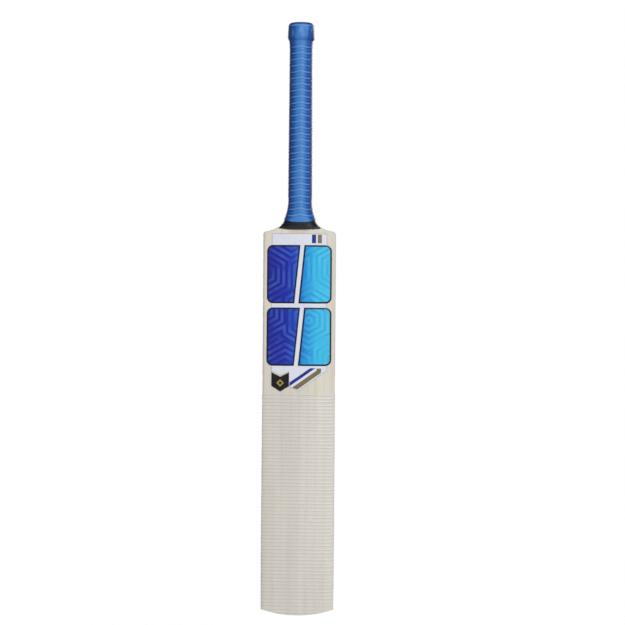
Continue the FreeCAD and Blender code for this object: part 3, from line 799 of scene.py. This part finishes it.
def grip_material():
    """Royal-blue rubber with a painted highlight on the crests and painted shade below them, streaked on the
    collar and a little scuffed, with a painted highlight ring near the rim and painted shade under the
    collar. Its base colour also follows the view: a painted highlight face on and painted shade at a slant."""
    material, shader, here = plain_material("grip_rubber", Specular_IOR_Level=0.3)
    tree, height = here.id_data, axes(here)[2]
    crest = add(tree, "ShaderNodeAttribute", attribute_name="crest").outputs["Fac"]
    rib = add(tree, "ShaderNodeAttribute", attribute_name="rib").outputs["Fac"]
    scuff = noise(here, (60, 60, 25), 4.0)
    glint_and_bump_noise = noise(here, (420, 420, 120), 3.0)
    streak = noise(here, (190, 190, 70), 3.0)
    collar = grip_band(height, STREAKED_COLLAR)
    glance = add(tree, "ShaderNodeLayerWeight", {"Blend": 0.5}).outputs["Facing"]
    tone = mix_colour(fade(scuff, 0.35, 0.7), screen(24, 84, 168), screen(38, 104, 190))
    for share, colour in (
            # Painted shade below each crest, and a patchy painted highlight along the crests.
            (times(fade(crest, 0.55, 0.0), rib, 0.7), screen(12, 44, 118)),
            (times(fade(crest, 0.62, 0.95), fade(glint_and_bump_noise, 0.25, 0.6, 0.45, 1.0), 0.75), screen(128, 176, 234)),
            (times(fade(streak, 0.5, 0.6, 0.0, 0.6), collar), screen(104, 168, 232)),
            (times(fade(streak, 0.5, 0.38, 0.0, 0.6), collar), screen(20, 66, 136)),
            # Painted highlight ring near the rim and painted shade under the collar.
            (times(grip_band(height, PAINTED_RIM_HIGHLIGHT), 0.55), screen(120, 176, 236)),
            (times(grip_band(height, PAINTED_UNDER_COLLAR_SHADE), 0.6), screen(20, 54, 118)),
            # Painted highlight where the rubber faces the view, and painted shade at a slant.
            (fade(glance, 0.22, 0.0, 0.0, 0.45), screen(84, 158, 224)),
            (fade(glance, 0.12, 0.7, 0.0, 0.9), screen(8, 32, 92))):
        tone = mix_colour(share, tone, colour)
    mottle = reckon("MULTIPLY_ADD", glint_and_bump_noise, 1.5, noise(here, (1800, 1800, 1800), 3.0))
    feed(shader, tone, reckon("MULTIPLY_ADD", scuff, 0.15, 0.4), (mottle, 0.12, 0.0003))
    return material


GRIP_RUBBER = grip_material()
grip_points, grip_faces, rib_share = grip_mesh()
grip = new_object("rubber_grip", grip_points, grip_faces)
grip.data.attributes.new("rib", "FLOAT", "POINT").data.foreach_set("value", rib_share)
run_tree(grip, grip_tree(), Pitch=RIB_PITCH, Depth=RIB_DEPTH, Peaks=float(CHEVRON_PEAKS), Drop=CHEVRON_DROP,
         Weak_Share=0.35, Material=GRIP_RUBBER)
smooth(grip, 70)
dress(grip, [GRIP_RUBBER], "grip_rubber", "grip")


# ---- shoulder tape -----------------------------------------------------------------
# Black self-adhesive tape wound round the neck, turn over turn, with one lap to be seen. Its
# loose end makes a small corner that sticks out below the edge at the back.
TAPE_SIDE = BLADE_LENGTH + 6.2 * MM         # lower edge at both sides of the neck
TAPE_MIDDLE = BLADE_LENGTH + 3.7 * MM       # and in the middle of the face and the back
TAPE_LAP = BLADE_LENGTH + 11.2 * MM         # upper edge of the turn that was wound last
TAPE_THIN, TAPE_THICK = 1.1 * MM, 1.5 * MM
CORNER_TURN = math.radians(58)              # where round the neck the loose corner hangs
CORNER_DROP = 3.2 * MM


def tape_mesh():
    """A sleeve whose inner wall hugs the neck and whose outer wall steps at the last turn's edge."""
    turn = full_turn(240)
    across, deep = np.cos(turn), np.sin(turn)
    facing_share = np.abs(deep) ** 1.3
    low = TAPE_SIDE + (TAPE_MIDDLE - TAPE_SIDE) * facing_share + 0.15 * MM * np.sin(5 * turn + 1.0)
    low = low - CORNER_DROP * np.maximum(0.0, 1 - np.abs(turn - CORNER_TURN) / 0.2) ** 0.9
    high = foot_edge(turn) - 0.15 * MM
    lap = TAPE_LAP + 2.2 * MM * (1 - facing_share) + 0.7 * MM * np.sin(turn + 2.2)
    up = np.linspace(0, 1, 64)
    rings = []
    for outer, shares in ((True, up), (False, up[::-1])):
        for share in shares:
            z = low + (high - low) * share
            x, y, z = oval(turn, z, *neck_at(z)).T
            sunk = z < shoulder_z(x) + 0.5 * MM
            y = np.where(sunk & (deep < -0.3), np.minimum(y, face_y(x, z)), y)
            y = np.where(sunk & (deep > 0.3), np.maximum(y, back_y(x, z)), y)
            under = np.clip((lap - z) / (0.6 * MM), 0, 1)
            lift = TAPE_THIN + (TAPE_THICK - TAPE_THIN) * under if outer else 0.12 * MM
            rings.append(np.stack([x + lift * across, y + lift * deep, z], axis=1))
    return tube(rings, "joined")


def tape_material():
    """Black cloth-backed tape with a fine crinkle and a satin sheen."""
    material, shader, here = plain_material("black_tape", Specular_IOR_Level=0.3)
    crinkle = noise(here, (160, 160, 420), 4.0)
    weave = add(here.id_data, "ShaderNodeTexWave", {"Vector": here, "Scale": 420.0, "Distortion": 1.5},
                bands_direction="Z").outputs[1]
    tone = mix_colour(crinkle, screen(8, 11, 16), screen(24, 29, 36))
    height = reckon("MULTIPLY_ADD", weave, 0.3, crinkle)
    feed(shader, tone, fade(crinkle, 0.25, 0.75, 0.36, 0.56), (height, 0.35, 0.0004))
    return material


tape = solid("wound_tape", *tape_mesh())
smooth(tape, 28)
dress(tape, [tape_material()], "black_tape", "shoulder_tape")


# ---- facing sheet ------------------------------------------------------------------
# A thin clear fibre sheet glued over the lower face and turned round on to both edges. It
# is stiffened by cross threads every 5 mm, which stand up as fine ridges.
FACING_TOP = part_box("facing_sheet")[1].z
FACING_WRAP = 9.5 * MM
FACING_THICK = 0.32 * MM
THREAD_PITCH = 5.05 * MM
THREAD_WIDTH = 0.5 * MM
THREAD_HEIGHT = 0.2 * MM


def facing_path(z_row, grow):
    """Points across the sheet at one height, from one edge round the face to the other."""
    half = half_width(z_row) + grow
    turn = np.array([0.8, 0.6, 0.4, 0.2])
    wrapped = FRONT_ROUND + (FACING_WRAP - FRONT_ROUND) * np.array([1.0, 0.8, 0.6, 0.4, 0.2])
    behind = np.concatenate([wrapped, FRONT_ROUND * turn ** 2])
    side_x = np.concatenate([np.full(len(wrapped), half), half - FRONT_ROUND * (1 - turn) ** 2])
    x = np.concatenate([-side_x, np.linspace(-1, 1, 31) * (half - FRONT_ROUND), side_x[::-1]])
    y = np.full_like(x, edge_front_y(z_row))
    side = len(behind)
    for _ in range(3):
        z = np.maximum(z_row, toe_z(x, y) + 0.5 * MM)
        front = edge_front_y(z) - grow
        y = face_y(x, z) - grow
        y[:side] = front[:side] + behind
        y[-side:] = front[-side:] + behind[::-1]
    return np.stack([x, y, z], axis=1)


def facing_mesh():
    """A closed thin shell whose rows lie on and between the threads."""
    heights = [0.0, 0.5 * THREAD_PITCH]
    thread = 1
    while (thread + 0.5) * THREAD_PITCH < FACING_TOP:
        heights += [(thread + s) * THREAD_PITCH for s in (-0.32, -0.12, -0.06, 0.0, 0.06, 0.12, 0.32)]
        thread += 1
    heights.append(FACING_TOP)
    outer = [facing_path(z, FACING_THICK) for z in heights]
    inner = [facing_path(z, 0.03 * MM) for z in heights]
    rows, wide = len(outer), len(outer[0])
    points = [tuple(p) for path in outer + inner for p in path]
    below = rows * wide
    faces = []
    for a in (r * wide + c for r in range(rows - 1) for c in range(wide - 1)):
        quad = (a, a + 1, a + 1 + wide, a + wide)
        faces += [quad, tuple(below + corner for corner in quad[::-1])]
    rim = [(r * wide + c, (r + 1) * wide + c) for r in range(rows - 1) for c in (0, wide - 1)]
    rim += [(r * wide + c, r * wide + c + 1) for c in range(wide - 1) for r in (0, rows - 1)]
    faces += [(a, b, below + b, below + a) for a, b in rim]
    return points, faces, below


def off_thread(z, pitch):
    """How far a height is from the nearest thread, as a signed share of the pitch."""
    share = reckon("DIVIDE", z, pitch)
    return reckon("SUBTRACT", share, reckon("ROUND", share))


def facing_tree():
    """Raises one thread per pitch out of the sheet."""
    tree, given = geometry_tree("raise_threads", "Pitch", "Width", "Height")
    z = axes(add(tree, "GeometryNodeInputPosition").outputs[0])[2]
    near = reckon("DIVIDE", times(off_thread(z, given["Pitch"]), given["Pitch"]), given["Width"])
    ridge = reckon("MAXIMUM", reckon("SUBTRACT", 1.0, times(near, near)), 0.0)
    push = times(ridge, given["Height"], stored(tree, "top"))
    return finish_tree(tree, given, pushed_out(given, push))


def facing_material():
    """The wood seen through the clear sheet, with a fine dark line along every thread."""
    material, shader, here = plain_material("facing_fibre", Coat_Weight=0.25, Coat_Roughness=0.3)
    grain = use_wood(here, (0.72, 0.685, 0.62), (0.54, 0.47, 0.38), 0.0125, 0.16, 0.1)
    x, _, z = axes(here)
    thread = fade(reckon("ABSOLUTE", off_thread(z, THREAD_PITCH)), 0.16, 0.05)
    veil = noise(here, (300, 300, 900), 3.0)
    dark = times(thread, fade(veil, 0.2, 0.8, 0.22, 0.45))
    tone = mix_colour(dark, grain["Color"], (0.33, 0.28, 0.26, 1))
    warp = reckon("ABSOLUTE", reckon("SUBTRACT", reckon("FRACT", reckon("DIVIDE", x, 0.0009)), 0.5))
    height = reckon("MULTIPLY_ADD", veil, 0.4, warp)
    feed(shader, tone, fade(veil, 0.2, 0.8, 0.36, 0.5), (height, 0.1, 0.0002))
    return material


FACING_FIBRE = facing_material()
facing_points, facing_faces, facing_outer = facing_mesh()
facing = new_object("fibre_facing", facing_points, facing_faces)
top_share = [1.0] * facing_outer + [0.0] * (len(facing_points) - facing_outer)
facing.data.attributes.new("top", "FLOAT", "POINT").data.foreach_set("value", top_share)
outward(facing)
run_tree(facing, facing_tree(), Pitch=THREAD_PITCH, Width=THREAD_WIDTH, Height=THREAD_HEIGHT,
         Material=FACING_FIBRE)
smooth(facing, 50)
dress(facing, [FACING_FIBRE], "facing_fibre", "facing_sheet")


# ---- face label --------------------------------------------------------------------
# A printed white film stuck to the upper face, with a pennant and a slanted corner at its
# lower end. Its print is plain bars, stripes and a pennant, with no lettering.
FILM_THICK = 0.25 * MM
FILM_GLUE = 0.02 * MM
# Outlines are in millimetres, across the face and up from the toe.
FACE_LABEL = ((-40.0, 552.7), (-40.0, 331.5), (-26.8, 323.0), (-13.6, 331.0), (-1.2, 324.0), (40.0, 353.5),
              (40.0, 552.7))
BLUE_BAR = ((17.8, 539.0), (23.8, 539.0), (23.8, 551.5), (17.8, 551.5))
BRONZE_BAR = ((26.4, 539.0), (32.3, 539.0), (32.3, 551.5), (26.4, 551.5))
BLUE_STRIPE = ((-13.4, 336.8), (-13.4, 331.2), (24.0, 357.5), (16.5, 357.5))
BRONZE_STRIPE = ((26.0, 354.3), (-9.3, 329.4), (-1.8, 326.5), (32.3, 351.0), (32.3, 357.2), (26.0, 357.2))
PENNANT_RIM = ((-39.6, 354.0), (-39.6, 331.6), (-26.8, 323.4), (-13.8, 331.2), (-13.8, 354.0), (-26.8, 347.8))
PENNANT = ((-39.4, 351.4), (-39.4, 331.7), (-26.8, 323.7), (-14.0, 331.4), (-14.0, 351.4), (-26.8, 345.0))
PENNANT_STAR = ((-26.8, 341.5), (-32.4, 336.0), (-26.8, 330.5), (-21.2, 336.0))
PENNANT_HEART = ((-26.8, 338.4), (-29.3, 336.0), (-26.8, 333.6), (-24.3, 336.0))


def inside(points, outline):
    """Which points lie inside a closed outline."""
    x, z = points.T
    found = np.zeros(len(points), bool)
    corners = np.array(outline)
    for (x0, z0), (x1, z1) in zip(corners, np.roll(corners, -1, axis=0)):
        if z0 != z1:
            found ^= ((z0 > z) != (z1 > z)) & (x < x0 + (z - z0) * (x1 - x0) / (z1 - z0))
    return found


def nearness(points, outline):
    """Distance from each point to the nearest side of an outline."""
    corners = np.array(outline)
    best = np.full(len(points), 1.0)
    for start, end in zip(corners, np.roll(corners, -1, axis=0)):
        way = end - start
        share = np.clip(((points - start) @ way) / max(way @ way, 1e-12), 0, 1)
        best = np.minimum(best, np.linalg.norm(points - start - share[:, None] * way, axis=1))
    return best


def drawn_in(outline, depth):
    """The same outline with every side moved inwards by depth."""
    corners = np.array(outline, float)
    way = np.roll(corners, -1, axis=0) - corners
    after = np.roll(corners, -1, axis=0)
    turning = np.sum(corners[:, 0] * after[:, 1] - corners[:, 1] * after[:, 0])
    normal = np.stack([-way[:, 1], way[:, 0]], axis=1) * math.copysign(1, turning)
    normal /= np.linalg.norm(normal, axis=1)[:, None]
    before = np.roll(normal, 1, axis=0)
    return corners + (normal + before) * (depth / (1 + np.sum(normal * before, axis=1)))[:, None]


def cut_film(name, areas, spacing, place, top):
    """A closed thin film. areas are (outline, material number), later ones printed over earlier
    ones. place lifts flat points off the blade, and top gives the height of the upper skin."""
    flat, edges = [], []
    for outline, _ in areas:
        loop = []
        for start, end in zip(outline, np.roll(outline, -1, axis=0)):
            count = max(1, int(math.ceil(np.linalg.norm(end - start) / spacing)))
            loop += [start + (end - start) * k / count for k in range(count)]
        edges += [(len(flat) + k, len(flat) + (k + 1) % len(loop)) for k in range(len(loop))]
        flat += loop
    rim = np.array(flat)
    low, high = rim.min(axis=0), rim.max(axis=0)
    columns = np.arange(low[0] + 0.5 * spacing, high[0], spacing)
    rows = np.arange(low[1] + 0.5 * spacing, high[1], spacing)
    grid = np.stack(np.meshgrid(columns, rows), axis=-1).reshape(-1, 2)
    apart = np.full(len(grid), 1.0)
    for point in rim:
        apart = np.minimum(apart, np.abs(grid - point).max(axis=1))
    flat += list(grid[apart > 0.45 * spacing])
    corners, _, triangles, *_ = delaunay_2d_cdt([Vector(p) for p in flat], edges, [], 0, 1e-7)
    corners = np.array([tuple(p) for p in corners])
    triangles = np.array(triangles)
    middle = corners[triangles].mean(axis=1)
    kind = np.full(len(triangles), -1)
    for outline, number in areas:
        kind[inside(middle, outline)] = number
    triangles, kind = triangles[kind >= 0], kind[kind >= 0]
    used, triangles = np.unique(triangles, return_inverse=True)
    triangles = triangles.reshape(-1, 3)
    corners = corners[used]
    count = len(corners)
    points = np.concatenate([place(corners, top(corners)), place(corners, FILM_GLUE)])
    faces = [tuple(t) for t in triangles] + [tuple(t + count) for t in triangles[:, ::-1]]
    numbers = list(kind) + list(kind)
    owner = {}
    for t, number in zip(triangles, kind):
        for a, b in ((t[0], t[1]), (t[1], t[2]), (t[2], t[0])):
            owner[(a, b)] = number
    for (a, b), number in owner.items():
        if (b, a) not in owner:
            faces.append((b, a, a + count, b + count))
            numbers.append(number)
    film = new_object(name, points, faces)
    film.data.polygons.foreach_set("material_index", [int(n) for n in numbers])
    return film, corners


def print_film(name, prints, spacing, place, crease, slot, node):
    """A dressed film of even thickness. prints are outlines in millimetres with their inks."""
    inks = list(dict.fromkeys(ink for _, ink in prints))
    areas = [(np.array(outline, float) * MM, inks.index(ink)) for outline, ink in prints]
    film, _ = cut_film(name, areas, spacing, place, lambda flat: np.full(len(flat), FILM_THICK))
    outward(film)
    smooth(film, crease)
    dress(film, inks, slot, node)


def on_face(flat, lift):
    x, z = flat.T
    return np.stack([x, face_y(x, z) - lift, z], axis=1)


def film_print(name, colour, second, metal=0.0):
    """Printed film: its ink varies a little and it has a thin clear coat."""
    material, shader, here = plain_material(name, Metallic=metal, Specular_IOR_Level=0.25,
                                            Coat_Weight=0.06, Coat_Roughness=0.15)
    cloud = noise(here, (55, 55, 25), 4.0)
    grit = noise(here, (2600, 2600, 2600), 2.0)
    tone = mix_colour(fade(cloud, 0.3, 0.7), screen(*colour), screen(*second))
    feed(shader, tone, reckon("MULTIPLY_ADD", cloud, 0.16, 0.27), (grit, 0.05, 0.0001))
    return material


WHITE_FILM = film_print("white_film", (219, 223, 234), (226, 229, 238))
LINE_INK = film_print("line_ink", (110, 122, 152), (138, 148, 172))
BLUE_INK = film_print("blue_ink", (28, 34, 128), (42, 50, 154))
BRONZE_INK = film_print("bronze_ink", (112, 100, 74), (138, 122, 92), 0.25)
BLACK_INK = film_print("black_ink", (20, 19, 22), (34, 32, 34))
CREAM_INK = film_print("cream_ink", (198, 194, 180), (212, 208, 196))
GOLD_INK = film_print("gold_ink", (168, 138, 74), (196, 166, 98), 0.4)
LABEL_LINE = 0.45                           # width of the fine line round a label
face_prints = ((FACE_LABEL, LINE_INK), (drawn_in(FACE_LABEL, LABEL_LINE), WHITE_FILM), (BLUE_BAR, BLUE_INK),
               (BRONZE_BAR, BRONZE_INK), (BLUE_STRIPE, BLUE_INK), (BRONZE_STRIPE, BRONZE_INK),
               (PENNANT_RIM, CREAM_INK), (PENNANT, BLACK_INK), (PENNANT_STAR, GOLD_INK),
               (PENNANT_HEART, BLACK_INK))
print_film("face_label", face_prints, 3.5 * MM, on_face, 40, "label_film", "front_label")


# ---- face panels -------------------------------------------------------------------
# Two thick foil panels with rounded corners, embossed with nested hexagons. A plain slanted
# channel parts each into a blue and a cyan half, and every half has a dark raised rim.
PANEL_HALF = 47.0 * MM
PANEL_CORNER = 9.0 * MM
PANEL_RIM = 2.4 * MM
PANEL_THICK = 0.4 * MM
PANEL_BEVEL = 0.9 * MM
CHANNEL_HALF = 2.9 * MM
CHANNEL_LEAN = 4.2 * MM
RING_PITCH = 7.8 * MM
RING_HEIGHT = 0.09 * MM
# Name, top and foot, and where hexagons are centred: across, and as a share of the way down.
FACE_PANELS = (("front_panel_upper", 536.2, 451.4, ((-50, 0.5), (-12, 1.2), (16, -0.15), (56, 0.6))),
               ("front_panel_lower", 445.4, 360.8, ((-52, 0.95), (14, 0.78), (-20, -0.1), (58, 0.05))))


def panel_halves(low, high):
    """Outlines of both halves of a panel: rounded outer corners, square ones at the channel."""
    turn = 0.5 * math.pi * np.arange(10) / 9
    x = PANEL_HALF - PANEL_CORNER * (1 - np.concatenate([np.sin(turn), np.cos(turn)]))
    z = np.concatenate([low + PANEL_CORNER * (1 - np.cos(turn)), high - PANEL_CORNER * (1 - np.sin(turn))])
    halves = []
    for side in (-1, 1):
        channel = [(side * CHANNEL_HALF + CHANNEL_LEAN, high), (side * CHANNEL_HALF - CHANNEL_LEAN, low)]
        halves.append(np.concatenate([np.stack([side * x, z], axis=1), channel]))
    return halves


def emboss(flat, centres):
    """Nested hexagons round several centres, from 0 in the grooves to 1 on the ridges."""
    nearest = np.full(len(flat), 1.0)
    for centre in centres:
        away = np.abs(flat - centre)
        nearest = np.minimum(nearest, np.maximum(away[:, 0], 0.5 * away[:, 0] + 0.866 * away[:, 1]))
    return (0.5 - 0.5 * np.cos(2 * math.pi * nearest / RING_PITCH)) ** 0.8


def foil_panel(name, high, low, centres, place, foil):
    """One panel as two islands, its rims and its embossed fields."""
    high, low = high * MM, low * MM
    halves = panel_halves(low, high)
    areas = []
    for half in halves:
        areas += [(half, 0), (drawn_in(half, PANEL_RIM), 1)]
    places = [(x * MM, low + share * (high - low)) for x, share in centres]

    def top(flat):
        edge = np.minimum(nearness(flat, halves[0]), nearness(flat, halves[1]))
        step = np.clip(1 - edge / PANEL_BEVEL, 0, 1)
        lift = FILM_THICK + PANEL_THICK * np.sqrt(1 - 0.75 * step ** 2)
        field = np.clip((edge - PANEL_RIM) / (0.9 * MM), 0, 1)
        return lift + RING_HEIGHT * field * (emboss(flat, places) - 0.3)

    panel, flat = cut_film("foil_" + name, areas, 1.0 * MM, place, top)
    relief = np.tile(emboss(flat, places), 2)
    panel.data.attributes.new("relief", "FLOAT", "POINT").data.foreach_set("value", relief)
    outward(panel)
    smooth(panel, 50)
    dress(panel, [NAVY_RIM, foil], "panel_foil", name)


def foil_material(name, stops):
    """Metallic-looking foil whose hue runs across the panel, with a painted highlight on its embossed ridges.
    """
    material, shader, here = plain_material(name, Specular_IOR_Level=0.16, Coat_Weight=0.08,
                                            Coat_Roughness=0.12)
    tree = here.id_data
    sweep = noise(here, (35, 35, 18), 3.0)
    across = reckon("ADD", axes(here)[0], reckon("MULTIPLY_ADD", sweep, 0.016, -0.008))
    share = fade(across, -PANEL_HALF, PANEL_HALF, 0.0, 1.0, "LINEAR")
    ramp = add(tree, "ShaderNodeValToRGB", {0: share})
    while len(ramp.color_ramp.elements) < len(stops):
        ramp.color_ramp.elements.new(0.5)
    for element, (at, colour) in zip(ramp.color_ramp.elements, stops):
        element.position = at
        element.color = screen(*colour)
    hue = ramp.outputs[0]
    relief = add(tree, "ShaderNodeAttribute", attribute_name="relief").outputs["Fac"]
    patchy = fade(noise(here, (48, 48, 40), 2.0), 0.35, 0.65, 0.25, 1.0)
    # A painted highlight on the embossed ridges; the ground is darker in random patches.
    lit = mix_colour(0.13, hue, screen(120, 190, 250), "SCREEN")
    deep = mix_colour(1.0, hue, (0.74, 0.77, 0.88, 1), "MULTIPLY")
    ground = mix_colour(times(patchy, 0.8), hue, deep)
    tone = mix_colour(times(fade(relief, 0.15, 0.9), patchy), ground, lit)
    feed(shader, tone, reckon("MULTIPLY_ADD", sweep, 0.15, 0.26))
    return material


NAVY_RIM = film_print("navy_rim", (8, 14, 46), (14, 22, 62))
FOIL_STOPS = ((0.0, (34, 34, 146)), (0.3, (34, 42, 164)), (0.42, (34, 68, 186)), (0.5, (32, 110, 202)),
              (0.6, (36, 154, 222)), (0.75, (56, 190, 236)), (1.0, (66, 194, 230)))
FACE_FOIL = foil_material("face_foil", FOIL_STOPS)
for name, high, low, centres in FACE_PANELS:
    foil_panel(name, high, low, centres, on_face, FACE_FOIL)


# ---- back label, panels and stripes --------------------------------------------------
# The back has its own white film, which ends in a lopsided chevron of blue and bronze, two
# more foil panels, and two printed stripes that taper down either side of the spine.
BACK_LABEL = ((-37.7, 552.0), (-37.7, 280.5), (0.5, 266.0), (37.7, 305.5), (37.7, 552.0))
BACK_GREY = ((-37.7, 349.0), (-37.7, 304.0), (-32.4, 301.0), (-32.4, 343.5))
BACK_BREAK = ((-37.7, 336.4), (-37.7, 334.2), (-32.4, 332.6), (-32.4, 334.8))
BACK_BLUE = ((-37.7, 305.5), (-37.7, 290.5), (-0.6, 276.5), (37.7, 314.0), (37.7, 330.5), (-1.6, 290.8))
BACK_BRONZE = ((-37.7, 290.5), (-37.7, 280.5), (0.5, 266.0), (37.7, 305.5), (37.7, 314.0), (-0.6, 276.5))
LEFT_LEG = ((-34.0, 274.8), (-34.0, 259.2), (-15.0, 249.5), (-5.2, 131.0), (-5.2, 262.4))
LEFT_LEG_BLUE = ((-34.0, 274.8), (-34.0, 268.8), (-9.6, 258.0), (-6.2, 150.0), (-5.2, 133.0), (-5.2, 262.4))
RIGHT_LEG = ((32.5, 291.0), (4.6, 262.2), (4.6, 131.0), (14.2, 255.4), (32.5, 274.0))
RIGHT_LEG_BLUE = ((32.5, 291.0), (4.6, 262.2), (4.6, 133.0), (5.6, 152.0), (10.2, 259.5), (32.5, 283.0))
BACK_PANELS = (("back_panel_upper", 534.0, 445.8, ((26, 0.78), (-50, 0.7), (4, -0.1), (60, 0.15))),
               ("back_panel_lower", 438.2, 350.0, ((24, 0.25), (-10, 1.1), (-56, 0.3), (60, 0.95))))


def on_back(flat, lift):
    """Flat points have their x to the right of someone who looks at the back."""
    x, z = flat.T
    return np.stack([-x, back_y(x, z) + lift, z], axis=1)


def stripe_ink(name, colour, second):
    """Ink that turns to near black towards the lower end of the stripes, and fades at the tip."""
    material = film_print(name, colour, second)
    tree = material.node_tree
    shader = tree.nodes["Principled BSDF"]
    upper = shader.inputs["Base Color"].links[0].from_socket
    height = axes(own_place(tree))[2]
    tone = mix_colour(times(fade(height, 0.225, 0.165), 0.85), upper, screen(52, 42, 46))
    tone = mix_colour(times(fade(height, 0.165, 0.128), 0.75), tone, screen(170, 158, 140))
    feed(shader, tone)
    return material


GREY_INK = film_print("grey_ink", (62, 63, 74), (78, 78, 88))
BROWN_INK = film_print("brown_ink", (118, 92, 64), (134, 106, 76), 0.2)
back_prints = ((BACK_LABEL, LINE_INK), (drawn_in(BACK_LABEL, LABEL_LINE), WHITE_FILM), (BACK_GREY, GREY_INK),
               (BACK_BREAK, WHITE_FILM), (BACK_BRONZE, BROWN_INK), (BACK_BLUE, BLUE_INK))
print_film("back_label_film", back_prints, 2.5 * MM, on_back, 50, "label_film", "back_label")

BACK_STOPS = ((0.0, (40, 40, 142)), (0.3, (36, 44, 162)), (0.42, (40, 74, 184)), (0.5, (36, 112, 196)),
              (0.6, (30, 138, 192)), (0.8, (38, 152, 196)), (1.0, (66, 178, 210)))
BACK_FOIL = foil_material("back_foil", BACK_STOPS)
for name, high, low, centres in BACK_PANELS:
    foil_panel(name, high, low, centres, on_back, BACK_FOIL)

LEG_BLUE = stripe_ink("leg_blue", (32, 38, 120), (44, 50, 146))
LEG_BROWN = stripe_ink("leg_brown", (100, 82, 58), (118, 98, 70))
for name, whole, blue in (("back_stripe_right", LEFT_LEG, LEFT_LEG_BLUE),
                          ("back_stripe_left", RIGHT_LEG, RIGHT_LEG_BLUE)):
    print_film("printed_" + name, ((whole, LEG_BROWN), (blue, LEG_BLUE)), 2.0 * MM, on_back, 50,
               "stripe_film", name)


# ---- edge stickers -----------------------------------------------------------------
# A long printed wedge on each edge, white with a blue border, a grey block and a grey end.
# Its sizes are distances behind the face's corner and heights above the toe.
EDGE_WEDGE = ((5.5, 552.0), (9.5, 415.5), (10.1, 347.0), (24.6, 358.5), (21.3, 415.5), (19.0, 420.5),
              (15.7, 441.5), (9.9, 498.5), (6.7, 552.0))
WEDGE_WHITE = ((5.9, 545.0), (9.9, 415.5), (10.6, 377.0), (16.6, 372.5), (16.8, 414.0), (15.2, 420.0),
               (13.2, 441.5), (8.6, 498.5), (6.3, 545.0))
WEDGE_BLOCK = ((16.8, 414.0), (16.6, 375.5), (22.4, 381.0), (20.9, 411.0))
WEDGE_END = ((11.6, 371.5), (11.6, 351.5), (22.8, 360.2), (17.2, 371.0))
WEDGE_PATCH = ((15.6, 428.0), (17.0, 415.8), (21.0, 415.8), (18.8, 421.0))


def on_edge(side):
    def place(flat, lift):
        behind, z = flat.T
        return np.stack([side * (half_width(z) + lift), edge_front_y(z) + behind, z], axis=1)
    return place


wedge_prints = ((EDGE_WEDGE, BLUE_INK), (WEDGE_WHITE, WHITE_FILM), (WEDGE_BLOCK, GREY_INK),
                (WEDGE_END, GREY_INK), (WEDGE_PATCH, BLUE_INK))
for name, side in (("edge_sticker_left", -1), ("edge_sticker_right", 1)):
    print_film("printed_" + name, wedge_prints, 3.0 * MM, on_edge(side), 40, "label_film", name)


# ---- floor, light and camera -------------------------------------------------------
# A plain pale floor far below the bat, soft lights, and the camera in front of the face.
FLOOR_HALF = 2.2
FLOOR_Z = -0.35
floor_material, floor_shader, floor_place = plain_material("pale_floor", Roughness=0.9)
feed(floor_shader, mix_colour(noise(floor_place, (2, 2, 2)), (0.86, 0.86, 0.87, 1), (0.9, 0.9, 0.91, 1)))
floor = new_object("pale_floor", [(-FLOOR_HALF, -FLOOR_HALF, FLOOR_Z), (FLOOR_HALF, -FLOOR_HALF, FLOOR_Z),
                                  (FLOOR_HALF, FLOOR_HALF, FLOOR_Z), (-FLOOR_HALF, FLOOR_HALF, FLOOR_Z)],
                   [(0, 1, 2, 3)])
floor.data.materials.append(floor_material)

world = bpy.data.worlds.new("studio")
bpy.context.scene.world = world
world.use_nodes = True
background = world.node_tree.nodes["Background"]
background.inputs[0].default_value = (1.0, 1.0, 1.0, 1)
seen = add(world.node_tree, "ShaderNodeLightPath").outputs["Is Camera Ray"]
world.node_tree.links.new(fade(seen, 0.0, 1.0, 0.18, 1.0, "LINEAR"), background.inputs[1])

LIT_PLACE = Vector((0, 0, 0.45))
# Name, place, size and power of each soft light.
LIGHTS = (("key_right", (0.8, -2.4, 1.5), (0.8, 1.0), 47), ("fill_left", (-1.2, -2.4, 0.5), (0.9, 1.4), 4),
          ("back_right", (1.2, 2.2, 1.4), (1.0, 1.0), 30), ("back_left", (-0.9, 2.4, 0.7), (0.9, 1.4), 24),
          ("side_left", (-2.6, -0.5, 0.9), (0.8, 1.2), 3), ("side_right", (2.6, 0.4, 0.9), (0.8, 1.2), 7))
for name, place, size, power in LIGHTS:
    lamp = bpy.data.lights.new(name, "AREA")
    lamp.shape = "RECTANGLE"
    lamp.size, lamp.size_y = size
    lamp.energy = power
    holder = bpy.data.objects.new(name, lamp)
    holder.location = place
    holder.rotation_euler = (LIT_PLACE - Vector(place)).to_track_quat("-Z", "Y").to_euler()
    bpy.context.scene.collection.objects.link(holder)

camera_data = bpy.data.cameras.new("front_camera")
camera_data.sensor_width = 36.0
camera_data.lens = 120.0
camera = bpy.data.objects.new("front_camera", camera_data)
camera.location = (0.0194, -3.038, 0.4384)
camera.rotation_euler = (math.radians(90), math.radians(-0.42), 0)
bpy.context.scene.collection.objects.link(camera)
bpy.context.scene.camera = camera
bpy.context.scene.view_settings.view_transform = "Standard"
